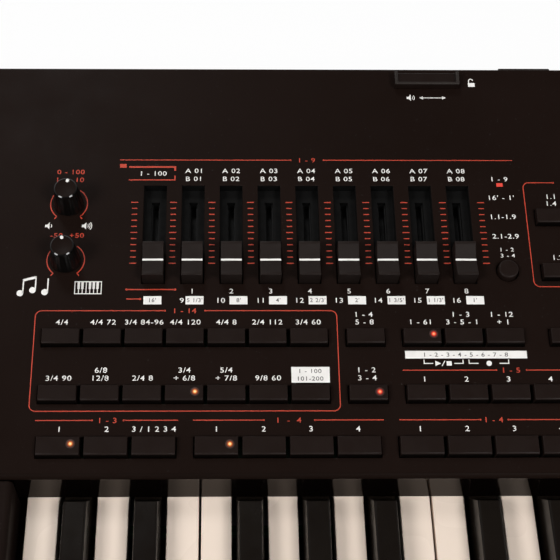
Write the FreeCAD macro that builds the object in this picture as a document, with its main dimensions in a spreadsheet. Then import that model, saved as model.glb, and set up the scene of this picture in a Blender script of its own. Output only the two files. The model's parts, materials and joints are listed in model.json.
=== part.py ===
"""Arranger keyboard with 61 keys, as a parametric document.

Frame: +X to the player's right, +Y to the back, +Z up, origin under the middle on the ground.
Pieces of the sloping control panel are drawn in the panel's own frame: u along the width,
v up the slope from the front edge, w out of the panel.
"""
import FreeCAD, Part
import collections
import os

import Sketcher

Vector = FreeCAD.Vector
DOCUMENT = FreeCAD.newDocument("arranger_keyboard")

# Driving dimensions, in millimetres and degrees
DIMENSIONS = {
    # case
    "case_width": 1030.0,
    "case_depth": 356.0,
    "foot_height": 8.0,
    "foot_radius": 12.0,
    "foot_inset_x": 70.0,
    "foot_inset_y": 35.0,
    "floor_thick": 3.0,
    "floor_inset": 1.0,
    "cheek_thick": 12.0,
    "wall_thick": 3.0,
    "seam_gap": 0.3,
    "left_block_width": 126.5,
    "block_drop": 1.0,
    "block_front_rise": 55.0,
    "block_bevel": 16.0,
    "block_round": 2.5,
    "slip_depth": 10.0,
    "slip_gap": 2.5,
    "slip_drop": 10.0,
    "rear_thick": 3.0,
    "rear_recess": 2.5,
    "rear_drop": 0.8,
    "rear_bevel": 3.4,
    "tab_out": 164.6,
    "tab_width": 24.0,
    "tab_drop": 3.0,
    "ledge_width": 6.0,
    "ledge_depth": 5.0,
    # screws of the lower case
    "screw_radius": 2.0,
    "screw_head_radius": 4.0,
    "screw_head_height": 2.2,
    "screw_length": 14.0,
    "screw_fit": 0.3,
    "screw_rows": 4,
    "screw_inset": 31.0,
    # keys
    "key_top": 80.0,
    "white_pitch": 23.5,
    "octave_count": 5,
    "key_gap": 1.0,
    "tail_gap": 1.3,
    "key_side_gap": 3.5,
    "white_thick": 10.0,
    "white_show": 144.0,
    "notch_gap": 0.8,
    "lip_drop": 16.0,
    "lip_thick": 4.0,
    "black_show": 95.0,
    "black_rise": 11.5,
    "black_width": 10.9,
    "black_top_width": 9.0,
    "black_side_rise": 2.0,
    "black_slant": 5.0,
    "black_back_gap": 1.5,
    "black_back_slant": 4.5,
    "key_dip": 2.8,
    "pivot_back": 57.5,
    "pivot_radius": 2.5,
    "pivot_fit": 0.4,
    "tail_past": 8.0,
    # keybed
    "frame_drop": 24.0,
    "frame_thick": 2.0,
    "frame_inset": 8.0,
    "frame_past": 6.0,
    "rest_gap": 0.4,
    "felt_width": 14.0,
    "felt_inset": 4.0,
    "contact_ahead": 18.5,
    "contact_board_width": 26.0,
    "board_thick": 1.6,
    "dome_strip_width": 14.0,
    "dome_strip_thick": 1.4,
    "dome_radius": 4.0,
    "boss_width": 6.0,
    "boss_drop": 4.4,
    "spring_thick": 0.6,
    "spring_strip_width": 12.0,
    "spring_width": 6.0,
    "spring_reach": 18.0,
    "spring_ahead": 22.0,
    # control panel
    "panel_tilt": 6.4,
    "panel_step": 16.0,
    "panel_thick": 3.0,
    "panel_round": 2.2,
    "panel_drawn_run": 194.58,
    "fascia_lean": 2.0,
    "fascia_thick": 2.0,
    "fascia_gap": 1.2,
    "row_low": 12.6,
    "row_mid": 35.0,
    "row_high": 60.0,
    "mode_row_low": 90.2,
    "mode_row_high": 116.7,
    "cap_width": 15.6,
    "cap_depth": 6.8,
    "bar_width": 17.4,
    "bar_depth": 7.8,
    "cap_rise": 2.8,
    "cap_gap": 0.5,
    "flange_reach": 1.6,
    "flange_gap": 0.5,
    "flange_thick": 1.2,
    "press_travel": 0.8,
    "stem_width": 4.0,
    "stem_depth": 3.4,
    "stem_length": 1.0,
    "switch_width": 6.0,
    "switch_height": 3.6,
    "board_margin": 8.0,
    "post_radius": 2.5,
    # left-hand buttons, measured from the left side of the lowest key
    "style_u": 12.3,
    "style_pitch": 17.2,
    "style_columns": 7,
    "option_u": 139.2,
    "memory_u": 162.8,
    "pad_pitch": 17.35,
    "memory_count": 3,
    "pad_count": 5,
    "bar_pitch": 19.1,
    "intro_u": 13.75,
    "intro_count": 3,
    "variation_u": 77.1,
    "variation_count": 4,
    "fill_u": 159.6,
    "fill_count": 4,
    "mode_u": 224.5,
    "mode_columns": 2,
    "slider_mode_u": 201.8,
    "slider_mode_v": 91.0,
    "slider_mode_diameter": 8.8,
    # right-hand buttons, measured back from the right side of the highest key
    "sound_u": 191.3,
    "performance_u": 222.0,
    "performance_count": 8,
    "menu_u": 314.0,
    "menu_columns": 4,
    "power_u": 10.0,
    "power_v": 168.0,
    "power_size": 11.0,
    # sliders
    "slider_u": 49.9,
    "slider_pitch": 16.68,
    "slider_count": 9,
    "slider_v": 94.0,
    "slider_travel": 30.0,
    "slider_cap_width": 9.0,
    "slider_cap_length": 15.9,
    "slider_end_rise": 7.0,
    "slider_lip": 1.2,
    "slider_valley_rise": 5.0,
    "slider_valley_width": 1.4,
    "trough_side_gap": 0.5,
    "trough_end_gap": 1.0,
    "trough_depth": 5.0,
    "well_depth": 7.0,
    "well_margin": 3.0,
    "lever_width": 1.2,
    "lever_length": 4.0,
    "lever_reach": 3.0,
    "lever_gap": 1.2,
    "pot_gap": 0.7,
    "slide_pot_width": 8.5,
    "slide_pot_height": 8.0,
    "slide_pot_margin": 5.0,
    # knobs and dial
    "knob_u": 12.3,
    "volume_v": 123.6,
    "balance_v": 96.2,
    "knob_radius": 6.4,
    "knob_top_radius": 4.85,
    "knob_height": 14.2,
    "knob_dish": 1.0,
    "knob_lift": 0.6,
    "shaft_radius": 3.0,
    "shaft_fit": 0.4,
    "shaft_reach": 4.0,
    "rotary_pot_width": 12.0,
    "rotary_pot_height": 8.0,
    "dial_u": 270.0,
    "dial_v": 150.0,
    "dial_radius": 21.0,
    "dial_height": 12.0,
    "dial_dimple_radius": 6.0,
    "dial_dimple_depth": 1.6,
    # speaker lock
    "lock_u": 173.2,
    "lock_v": 187.3,
    "lock_width": 29.5,
    "lock_depth": 7.1,
    "lock_rise": 4.5,
    "lock_tray": 1.6,
    "lock_rim": 1.3,
    "lock_lift": 0.4,
    "lock_travel": 8.0,
    "lock_neck_width": 10.0,
    "lock_neck_depth": 3.0,
    "lock_foot_width": 16.0,
    "lock_foot_depth": 6.0,
    "lock_foot_thick": 1.5,
    # display
    "display_u": 385.0,
    "display_width": 236.0,
    "display_depth": 124.0,
    "display_thick": 14.0,
    "display_rise": 2.0,
    "display_v": 62.0,
    "display_gap": 0.8,
    "display_frame": 11.0,
    "glass_thick": 2.0,
    "glass_drop": 0.4,
    "glass_gap": 0.2,
    "hinge_radius": 2.5,
    "hinge_fit": 0.4,
    "hinge_reach": 3.0,
    "well_wall": 3.0,
    "well_floor_gap": 1.0,
    # joystick
    "stick_inset": 68.0,
    "stick_ahead": 72.0,
    "stick_drop": 19.0,
    "dome_ball_radius": 24.0,
    "dome_ball_cut": 14.5,
    "stick_hole_radius": 19.5,
    "ring_gap": 0.6,
    "ring_width": 4.0,
    "ring_thick": 6.0,
    "gimbal_pin_radius": 2.0,
    "gimbal_fit": 0.4,
    "gimbal_ear_thick": 4.0,
    "gimbal_ear_width": 12.0,
    "stick_radius": 3.6,
    "stick_height": 44.0,
    "stick_grip_radius": 8.5,
    # inside and rear
    "main_board_left": 300.0,
    "main_board_width": 260.0,
    "main_board_depth": 84.0,
    "inner_back_gap": 22.0,
    "inner_drawn_room": 114.0,
    "standoff_radius": 3.0,
    "standoff_height": 6.0,
    "standoff_inset": 8.0,
    "chip_size": 24.0,
    "chip_height": 3.0,
    "chip_count": 4,
    "chip_pitch": 52.0,
    "supply_right": 250.0,
    "supply_width": 120.0,
    "supply_depth": 84.0,
    "supply_height": 38.0,
    "socket_z": 62.0,
    "socket_fit": 0.2,
    "jack_left": 380.0,
    "jack_pitch": 30.0,
    "jack_count": 5,
    "jack_bore": 3.25,
    "jack_bush_radius": 5.5,
    "jack_nut_radius": 7.5,
    "jack_nut_thick": 2.0,
    "jack_size": 15.0,
    "jack_length": 26.0,
    "midi_u": 40.0,
    "midi_pitch": 32.0,
    "midi_count": 2,
    "midi_radius": 8.5,
    "midi_bore": 6.8,
    "midi_bore_depth": 9.0,
    "usb_u": 150.0,
    "usb_pitch": 32.0,
    "usb_count": 2,
    "usb_width": 15.0,
    "usb_height": 8.5,
    "usb_wall": 0.8,
    "usb_depth": 10.0,
    "socket_size": 22.0,
    "socket_length": 16.0,
    "inlet_u": 420.0,
    "inlet_width": 50.0,
    "inlet_height": 24.0,
    "inlet_flange": 2.0,
    "inlet_body_width": 28.0,
    "inlet_body_height": 20.0,
    "inlet_mouth_width": 24.0,
    "inlet_mouth_height": 16.0,
    "inlet_mouth_depth": 16.0,
    "inlet_length": 24.0,
}

# Dimensions that follow from the driving ones
DERIVED = {
    "half_width": "dims.case_width / 2",
    "front_y": "-dims.case_depth / 2",
    "back_y": "dims.case_depth / 2",
    "floor_top": "dims.foot_height + dims.floor_thick",
    "octave": "7 * dims.white_pitch",
    "key_left": "-calc.half_width + dims.left_block_width + dims.key_side_gap",
    "key_right": "calc.key_left + (7 * dims.octave_count + 1) * dims.white_pitch",
    "slip_left": "-calc.half_width + dims.left_block_width + dims.seam_gap",
    "slip_right": "calc.key_right + dims.key_side_gap - dims.seam_gap",
    "white_front": "calc.front_y + dims.slip_depth + dims.slip_gap",
    "white_under": "dims.key_top - dims.white_thick",
    "panel_y": "calc.white_front + dims.white_show",
    "head_back": "calc.panel_y - dims.black_show - dims.notch_gap",
    "panel_z": "dims.key_top + dims.panel_step",
    "rear_y": "calc.back_y - dims.rear_recess",
    "rear_inner": "calc.rear_y - dims.rear_thick",
    "panel_back_y": "calc.rear_inner - dims.seam_gap - dims.panel_thick * sin(dims.panel_tilt)",
    "panel_run": "(calc.panel_back_y - calc.panel_y) / cos(dims.panel_tilt)",
    "depth_share": "(calc.panel_run - dims.row_low) / (dims.panel_drawn_run - dims.row_low)",
    "row_mid": "dims.row_low + (dims.row_mid - dims.row_low) * calc.depth_share",
    "row_high": "dims.row_low + (dims.row_high - dims.row_low) * calc.depth_share",
    "mode_row_low": "dims.row_low + (dims.mode_row_low - dims.row_low) * calc.depth_share",
    "mode_row_high": "dims.row_low + (dims.mode_row_high - dims.row_low) * calc.depth_share",
    "slider_mode_v": "dims.row_low + (dims.slider_mode_v - dims.row_low) * calc.depth_share",
    "power_v": "dims.row_low + (dims.power_v - dims.row_low) * calc.depth_share",
    "slider_v": "dims.row_low + (dims.slider_v - dims.row_low) * calc.depth_share",
    "volume_v": "dims.row_low + (dims.volume_v - dims.row_low) * calc.depth_share",
    "balance_v": "dims.row_low + (dims.balance_v - dims.row_low) * calc.depth_share",
    "dial_v": "dims.row_low + (dims.dial_v - dims.row_low) * calc.depth_share",
    "lock_v": "dims.row_low + (dims.lock_v - dims.row_low) * calc.depth_share",
    "display_v": "dims.row_low + (dims.display_v - dims.row_low) * calc.depth_share",
    "display_depth": "dims.display_depth * calc.depth_share",
    "panel_back_z": "calc.panel_z + calc.panel_run * sin(dims.panel_tilt)",
    "panel_half": "calc.half_width - dims.cheek_thick - dims.seam_gap",
    "block_top": "calc.panel_z - dims.block_drop",
    "block_front_z": "calc.floor_top + dims.block_front_rise",
    "block_back": "calc.panel_y - dims.seam_gap",
    "pivot_y": "calc.panel_y + dims.pivot_back",
    "pivot_z": "dims.key_top - dims.white_thick / 2",
    "key_rear": "calc.pivot_y + dims.tail_past",
    "low_tail": "3 * dims.white_pitch / 5",
    "high_tail": "4 * dims.white_pitch / 7",
    "mean_tail": "calc.octave / 12",
    "key_count": "12 * dims.octave_count + 1",
    "frame_top": "dims.key_top - dims.frame_drop",
    "frame_front": "calc.white_front + dims.frame_inset",
    "frame_back": "calc.pivot_y + dims.frame_past",
    "contact_y": "calc.panel_y - dims.contact_ahead",
    "felt_front": "calc.frame_front + dims.felt_inset",
    "felt_top": "calc.pivot_z - (calc.pivot_y - calc.felt_front) * sin(dims.key_dip)"
                " - dims.white_thick / 2 - dims.rest_gap",
    "dome_base": "calc.frame_top + dims.board_thick + dims.dome_strip_thick",
    "dome_top": "calc.pivot_z - (calc.pivot_y - calc.contact_y + dims.boss_width / 2) * sin(dims.key_dip)"
                " - dims.white_thick / 2 - dims.boss_drop - dims.rest_gap",
    "spring_root": "calc.pivot_y - dims.spring_ahead",
    "spring_tip": "calc.spring_root - dims.spring_reach",
    "spring_tip_z": "calc.pivot_z - (calc.pivot_y - calc.spring_tip) * sin(dims.key_dip)"
                    " - dims.white_thick / 2 - dims.rest_gap",
    "flange_top": "-dims.panel_thick - dims.flange_gap",
    "flange_low": "calc.flange_top - dims.flange_thick",
    "stem_low": "calc.flange_low - dims.stem_length",
    "switch_top": "calc.stem_low - dims.press_travel - dims.rest_gap",
    "board_top": "calc.switch_top - dims.switch_height",
    "trough_mid": "calc.slider_v + dims.slider_travel / 2",
    "trough_length": "dims.slider_travel + dims.slider_cap_length + 2 * dims.trough_end_gap",
    "trough_width": "dims.slider_cap_width + 2 * dims.trough_side_gap",
    "lever_slot": "dims.slider_travel + dims.lever_length + 2 * dims.trough_end_gap",
    "slider_left": "calc.key_left + dims.slider_u",
    "slider_right": "calc.slider_left + (dims.slider_count - 1) * dims.slider_pitch",
    "display_left": "calc.key_left + dims.display_u - dims.display_width / 2",
    "hinge_v": "calc.display_v + dims.display_thick / 2",
    "hinge_w": "dims.display_rise - dims.display_thick / 2",
    "display_low": "dims.display_rise - dims.display_thick",
    "display_floor": "calc.display_low - dims.well_floor_gap",
    "stick_x": "-calc.half_width + dims.stick_inset",
    "stick_y": "calc.panel_y - dims.stick_ahead",
    "stick_z": "calc.block_top - dims.stick_drop",
    "ring_inner": "dims.dome_ball_radius + dims.ring_gap",
    "ring_outer": "calc.ring_inner + dims.ring_width",
    "ear_inner": "calc.ring_outer + dims.ring_gap",
    "ear_outer": "calc.ear_inner + dims.gimbal_ear_thick",
    "inner_back": "calc.back_y - dims.inner_back_gap",
    "room_share": "(calc.inner_back - calc.frame_back) / dims.inner_drawn_room",
    "main_board_depth": "dims.main_board_depth * calc.room_share",
    "supply_depth": "dims.supply_depth * calc.room_share",
    "screw_row_pitch": "(dims.case_depth - 2 * dims.screw_inset) / (dims.screw_rows - 1)",
    "screw_x": "calc.half_width - dims.cheek_thick / 2",
}

PANEL_FRAME = ("placement(vector(0; calc.panel_y; calc.panel_z);"
               " rotation(vector(1; 0; 0); dims.panel_tilt))")

# A block of like buttons: first centre, counts, spacings, the size of one cap and its outline
Block = collections.namedtuple("Block", "u v columns rows pitch row_pitch wide deep is_round",
                               defaults=[False])

NODES = []


def fill_sheet(name, cells, prefix):
    """Adds a sheet whose cells carry the names of the values as aliases."""
    sheet = DOCUMENT.addObject("Spreadsheet::Sheet", name)
    for line, (alias, content) in enumerate(cells.items(), start=1):
        sheet.set(f"A{line}", alias)
        sheet.set(f"B{line}", f"{prefix}{content}")
        sheet.setAlias(f"B{line}", alias)
    DOCUMENT.recompute()
    return sheet


DIMS = fill_sheet("dims", DIMENSIONS, "")
CALC = fill_sheet("calc", {alias: text.replace("calc.", "") for alias, text in DERIVED.items()}, "=")


def value(expression):
    """The present value of an expression on the two sheets."""
    return float(DIMS.evalExpression(expression))


def rectangle(left, low, right, high):
    """Corner points of a rectangle given by its sides."""
    return [(left, low), (right, low), (right, high), (left, high)]


def centred(mid_x, mid_y, wide, deep):
    """Corner points of a rectangle given by its centre and size."""
    return rectangle(f"({mid_x}) - ({wide}) / 2", f"({mid_y}) - ({deep}) / 2",
                     f"({mid_x}) + ({wide}) / 2", f"({mid_y}) + ({deep}) / 2")


def circle(mid_x, mid_y, radius):
    """A round outline."""
    return {"x": mid_x, "y": mid_y, "radius": radius}


def bind(sketch, constraint, expression):
    """Adds a dimension to a sketch and ties it to an expression."""
    index = sketch.addConstraint(constraint)
    sketch.setExpression(f"Constraints[{index}]", expression)


def draw_polygon(sketch, points):
    """Draws a closed polygon whose corners are dimensioned from the origin."""
    first = sketch.GeometryCount
    count = len(points)
    spots = [Vector(value(x), value(y), 0) for x, y in points]
    for i in range(count):
        sketch.addGeometry(Part.LineSegment(spots[i], spots[(i + 1) % count]), False)
    for i in range(count):
        sketch.addConstraint(Sketcher.Constraint("Coincident", first + i, 2, first + (i + 1) % count, 1))
    for i, (x, y) in enumerate(points):
        bind(sketch, Sketcher.Constraint("DistanceX", -1, 1, first + i, 1, spots[i].x), x)
        bind(sketch, Sketcher.Constraint("DistanceY", -1, 1, first + i, 1, spots[i].y), y)


def draw_circle(sketch, x, y, radius):
    """Draws a circle dimensioned from the origin."""
    middle = Vector(value(x), value(y), 0)
    index = sketch.addGeometry(Part.Circle(middle, Vector(0, 0, 1), value(radius)), False)
    bind(sketch, Sketcher.Constraint("DistanceX", -1, 1, index, 3, middle.x), x)
    bind(sketch, Sketcher.Constraint("DistanceY", -1, 1, index, 3, middle.y), y)
    bind(sketch, Sketcher.Constraint("Radius", index, value(radius)), radius)


class Piece:
    """One sub-part made as a body of sketched features."""

    def __init__(self, label, placement=None):
        self.label = label
        self.body = DOCUMENT.addObject("PartDesign::Body", label)
        self.body.Label = label
        if placement:
            self.body.setExpression("Placement", placement)
        NODES.append(self.body)

    def origin(self, role):
        """The origin plane or axis with that role, such as XY_Plane or X_Axis."""
        return next(item for item in self.body.Origin.OriginFeatures if item.Role == role)

    def sketch(self, name, plane, offset, *outlines):
        """A sketch on an origin plane moved by offset along the plane's own axis (+X, +Y or +Z)."""
        sketch = self.body.newObject("Sketcher::SketchObject", f"{self.label}_{name}_sketch")
        sketch.AttachmentSupport = [(self.origin(f"{plane}_Plane"), "")]
        sketch.MapMode = "FlatFace"
        sign = "-" if plane == "XZ" else ""
        sketch.setExpression("AttachmentOffset.Base.z", f"{sign}({offset})")
        for outline in outlines:
            if isinstance(outline, dict):
                draw_circle(sketch, **outline)
            else:
                draw_polygon(sketch, outline)
        return sketch

    def feature(self, kind, name, sketch):
        """A feature of that kind on a sketch."""
        feature = self.body.newObject(f"PartDesign::{kind}", f"{self.label}_{name}")
        feature.Profile = sketch
        feature.Refine = False
        return feature

    def pad(self, name, plane, low, high, *outlines):
        """Material between two stations along the plane's axis."""
        sketch = self.sketch(name, plane, low, *outlines)
        pad = self.feature("Pad", name, sketch)
        pad.setExpression("Length", f"({high}) - ({low})")
        pad.Reversed = plane == "XZ"
        return pad

    def pocket(self, name, plane, low, high, *outlines):
        """A cut between two stations along the plane's axis."""
        sketch = self.sketch(name, plane, low, *outlines)
        pocket = self.feature("Pocket", name, sketch)
        pocket.setExpression("Length", f"({high}) - ({low})")
        pocket.Reversed = plane != "XZ"
        return pocket

    def spin(self, name, points):
        """Material turned about the Z axis from a half outline in X and Z."""
        sketch = self.sketch(name, "XZ", "0", points)
        spin = self.feature("Revolution", name, sketch)
        spin.ReferenceAxis = (self.origin("Z_Axis"), [""])
        spin.Angle = 360.0
        return spin

    def repeat(self, name, features, columns=None, rows=None):
        """Copies features along X, along Y or over a grid. Columns and rows are pairs (pitch, count)."""
        pattern = self.body.newObject("PartDesign::LinearPattern", f"{self.label}_{name}")
        pattern.Originals = features
        pattern.Refine = False
        runs = [(axis, *run) for axis, run in (("X_Axis", columns), ("Y_Axis", rows)) if run]
        for suffix, (axis, pitch, count) in zip(("", "2"), runs):
            setattr(pattern, f"Direction{suffix}", (self.origin(axis), [""]))
            setattr(pattern, f"Mode{suffix}", "Extent")
            pattern.setExpression(f"Length{suffix}", f"({pitch}) * ({count} - 1)")
            pattern.setExpression(f"Occurrences{suffix}", count)
        self.body.Tip = pattern
        return pattern

    def fillet(self, name, base, radius, chosen):
        """Rounds the edges of a feature whose bounding boxes are chosen."""
        DOCUMENT.recompute()
        edges = [f"Edge{i}" for i, edge in enumerate(base.Shape.Edges, start=1) if chosen(edge.BoundBox)]
        fillet = self.body.newObject("PartDesign::Fillet", f"{self.label}_{name}")
        fillet.Base = (base, edges)
        fillet.setExpression("Radius", radius)
        return fillet


def near(number, target):
    """Whether two lengths are the same."""
    return abs(number - target) < 1e-4


def primitive(kind, name, place, **sizes):
    """A Part primitive with its sizes and place tied to the sheets."""
    item = DOCUMENT.addObject(f"Part::{kind}", name)
    for size, expression in sizes.items():
        item.setExpression(size, expression)
    item.setExpression("Placement", place)
    return item


def at(x, y, z, turn="rotation(vector(0; 0; 1); 0)"):
    """Placement text for a point and a turn."""
    return f"placement(vector({x}; {y}; {z}); {turn})"


ALONG_X = "rotation(vector(0; 1; 0); 90)"


def finish_boolean(kind, label, parts, placement=None):
    """Joins or cuts shapes into one sub-part."""
    item = DOCUMENT.addObject(f"Part::{kind}", label)
    item.Label = label
    if kind == "Cut":
        item.Base, item.Tool = parts
    else:
        item.Shapes = parts
    if placement:
        item.setExpression("Placement", placement)
    return item


# Blocks of buttons: caps, panel cut-outs and switches are all drawn from these
SMALL = ("dims.cap_width", "dims.cap_depth")
BAR = ("dims.bar_width", "dims.bar_depth")
UPPER_STEP = "calc.row_high - calc.row_mid"
MODE_STEP = "calc.mode_row_high - calc.mode_row_low"


def low_row(place, count):
    """A row of wide bars along the front of the panel."""
    return Block(place, "dims.row_low", count, "1", "dims.bar_pitch", "dims.bar_pitch", *BAR)


BUTTONS = {
    "style_buttons": [
        Block("calc.key_left + dims.style_u", "calc.row_mid", "dims.style_columns", "2",
              "dims.style_pitch", UPPER_STEP, *SMALL)],
    "option_buttons": [
        Block("calc.key_left + dims.option_u", "calc.row_mid", "1", "2",
              "dims.pad_pitch", UPPER_STEP, *SMALL),
        Block("calc.key_left + dims.memory_u", "calc.row_high", "dims.memory_count", "1",
              "dims.pad_pitch", UPPER_STEP, *SMALL)],
    "pad_buttons": [
        Block("calc.key_left + dims.memory_u", "calc.row_mid", "dims.pad_count", "1",
              "dims.pad_pitch", UPPER_STEP, *SMALL)],
    "intro_buttons": [low_row("calc.key_left + dims.intro_u", "dims.intro_count")],
    "variation_buttons": [low_row("calc.key_left + dims.variation_u", "dims.variation_count")],
    "fill_buttons": [low_row("calc.key_left + dims.fill_u", "dims.fill_count")],
    "mode_buttons": [
        Block("calc.key_left + dims.mode_u", "calc.mode_row_low", "dims.mode_columns", "2",
              "dims.pad_pitch", MODE_STEP, *SMALL),
        Block("calc.key_left + dims.mode_u", "calc.row_high", "dims.mode_columns", "1",
              "dims.pad_pitch", MODE_STEP, *SMALL),
        Block("calc.key_right - dims.menu_u", "calc.mode_row_low", "dims.menu_columns", "2",
              "dims.pad_pitch", MODE_STEP, *SMALL)],
    "slider_mode_button": [
        Block("calc.key_left + dims.slider_mode_u", "calc.slider_mode_v", "1", "1",
              "dims.pad_pitch", MODE_STEP, "dims.slider_mode_diameter", "dims.slider_mode_diameter",
              is_round=True)],
    "sound_buttons": [
        Block("calc.key_right - dims.sound_u", "calc.row_mid", "dims.style_columns", "2",
              "dims.style_pitch", UPPER_STEP, *SMALL),
        low_row("calc.key_right - dims.performance_u", "dims.performance_count")],
    "power_button": [
        Block("calc.key_right - dims.power_u", "calc.power_v", "1", "1",
              "dims.pad_pitch", MODE_STEP, "dims.power_size", "dims.power_size")],
}


def repeat_block(piece, name, features, block):
    """Copies features over all the buttons of a block."""
    columns = (block.pitch, block.columns) if value(block.columns) > 1 else None
    rows = (block.row_pitch, block.rows) if value(block.rows) > 1 else None
    if columns or rows:
        piece.repeat(name, features, columns, rows)


def first_outline(block, side_reach, end_reach):
    """Outline of a block's first cap, widened at its sides and at its front and back."""
    if block.is_round:
        return circle(block.u, block.v, f"{block.wide} / 2 + {end_reach}")
    return centred(block.u, block.v, f"{block.wide} + 2 * {side_reach}",
                   f"{block.deep} + 2 * {end_reach}")


def button_group(label, blocks):
    """Caps, each with a flange that keeps it under the panel, and a stem."""
    piece = Piece(label, PANEL_FRAME)
    for number, block in enumerate(blocks):
        cap = piece.pad(f"cap_{number}", "XY", "calc.flange_low", "dims.cap_rise",
                        first_outline(block, "0", "0"))
        flange = piece.pad(f"flange_{number}", "XY", "calc.flange_low", "calc.flange_top",
                           first_outline(block, "0", "dims.flange_reach"))
        stem = piece.pad(f"stem_{number}", "XY", "calc.stem_low", "calc.flange_low",
                         centred(block.u, block.v, "dims.stem_width", "dims.stem_depth"))
        repeat_block(piece, f"copies_{number}", [cap, flange, stem], block)


def screw_first_row():
    """Y of the front row of case screws."""
    return "-(dims.screw_rows - 1) * calc.screw_row_pitch / 2"


def screw_grid():
    """Columns and rows of the case screws."""
    return ("2 * calc.screw_x", "2"), ("calc.screw_row_pitch", "dims.screw_rows")


def lower_case():
    """Bottom plate with the posts of the main board and the holes of the screws."""
    piece = Piece("lower_case")
    side = "calc.half_width - dims.floor_inset"
    piece.pad("plate", "XY", "dims.foot_height", "calc.floor_top",
              rectangle(f"-({side})", "calc.front_y + dims.floor_inset", side,
                        "calc.back_y - dims.floor_inset"))
    post = piece.pad("post", "XY", "calc.floor_top", "calc.floor_top + dims.standoff_height",
                     circle("-dims.main_board_left + dims.standoff_inset",
                            "calc.inner_back - calc.main_board_depth + dims.standoff_inset",
                            "dims.standoff_radius"))
    piece.repeat("posts", [post], ("dims.main_board_width - 2 * dims.standoff_inset", "2"),
                 ("calc.main_board_depth - 2 * dims.standoff_inset", "2"))
    hole = piece.pocket("hole", "XY", "dims.foot_height", "calc.floor_top",
                        circle("-calc.screw_x", screw_first_row(), "dims.screw_radius + dims.screw_fit"))
    piece.repeat("holes", [hole], *screw_grid())


def rubber_feet():
    """Four round feet under the lower case."""
    piece = Piece("rubber_feet")
    foot = piece.pad("foot", "XY", "0", "dims.foot_height",
                     circle("-calc.half_width + dims.foot_inset_x", "calc.front_y + dims.foot_inset_y",
                            "dims.foot_radius"))
    piece.repeat("feet", [foot], ("dims.case_width - 2 * dims.foot_inset_x", "2"),
                 ("dims.case_depth - 2 * dims.foot_inset_y", "2"))


def case_screws():
    """Pan-head screws that go up through the lower case into the end blocks."""
    piece = Piece("case_screws")
    row = screw_first_row()
    head = piece.pad("head", "XY", "dims.foot_height - dims.screw_head_height", "dims.foot_height",
                     circle("-calc.screw_x", row, "dims.screw_head_radius"))
    shank = piece.pad("shank", "XY", "dims.foot_height", "dims.foot_height + dims.screw_length",
                      circle("-calc.screw_x", row, "dims.screw_radius"))
    piece.repeat("screws", [head, shank], *screw_grid())


def panel_line(y, drop):
    """Z of the panel's top face at a station y, lowered by a depth square to the panel."""
    return (f"calc.panel_z + (({y}) - calc.panel_y) * tan(dims.panel_tilt)"
            f" - ({drop}) / cos(dims.panel_tilt)")


def end_block(label, block_span, hollow_span, cheek_low, ledge_low, key_side):
    """End moulding: a hollow block beside the keys, with a cheek that runs on to the back."""
    piece = Piece(label)
    block = piece.pad("block", "YZ", *block_span, [
        ("calc.front_y", "calc.floor_top"),
        ("calc.block_back", "calc.floor_top"),
        ("calc.block_back", "calc.block_top"),
        ("calc.front_y + dims.block_bevel", "calc.block_top"),
        ("calc.front_y", "calc.block_front_z")])
    edge_x = value(key_side)
    edge_z = value("calc.block_top")
    piece.fillet("key_side_edge", block, "dims.block_round",
                 lambda box: near(box.XMin, edge_x) and near(box.XMax, edge_x) and near(box.ZMin, edge_z))
    piece.pocket("hollow", "YZ", *hollow_span, [
        ("calc.front_y + dims.slip_depth", "calc.floor_top"),
        ("calc.block_back", "calc.floor_top"),
        ("calc.block_back", "calc.block_top - dims.wall_thick"),
        ("calc.front_y + dims.slip_depth + dims.block_bevel", "calc.block_top - dims.wall_thick"),
        ("calc.front_y + dims.slip_depth", "calc.block_front_z - dims.wall_thick")])
    cheek_high = f"{cheek_low} + dims.cheek_thick"
    piece.pad("cheek", "YZ", cheek_low, cheek_high, [
        ("calc.block_back", "calc.floor_top"),
        ("calc.back_y", "calc.floor_top"),
        ("calc.back_y", "calc.panel_back_z - (calc.back_y - calc.rear_inner)"),
        ("calc.rear_inner", panel_line("calc.rear_inner", "0")),
        ("calc.block_back", panel_line("calc.block_back", "0"))])
    front, back = "calc.block_back", "calc.panel_back_y"
    ledge_depth = "dims.panel_thick + dims.ledge_depth"
    piece.pad("ledge", "YZ", ledge_low, f"{ledge_low} + dims.ledge_width", [
        (front, panel_line(front, ledge_depth)),
        (back, panel_line(back, ledge_depth)),
        (back, panel_line(back, "dims.panel_thick")),
        (front, panel_line(front, "dims.panel_thick"))])
    hole = piece.pocket("hole", "XY", "calc.floor_top",
                        "calc.floor_top + dims.screw_length",
                        circle(f"{cheek_low} + dims.cheek_thick / 2", screw_first_row(),
                               "dims.screw_radius + dims.screw_fit"))
    piece.repeat("holes", [hole], rows=("calc.screw_row_pitch", "dims.screw_rows"))
    return piece


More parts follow.
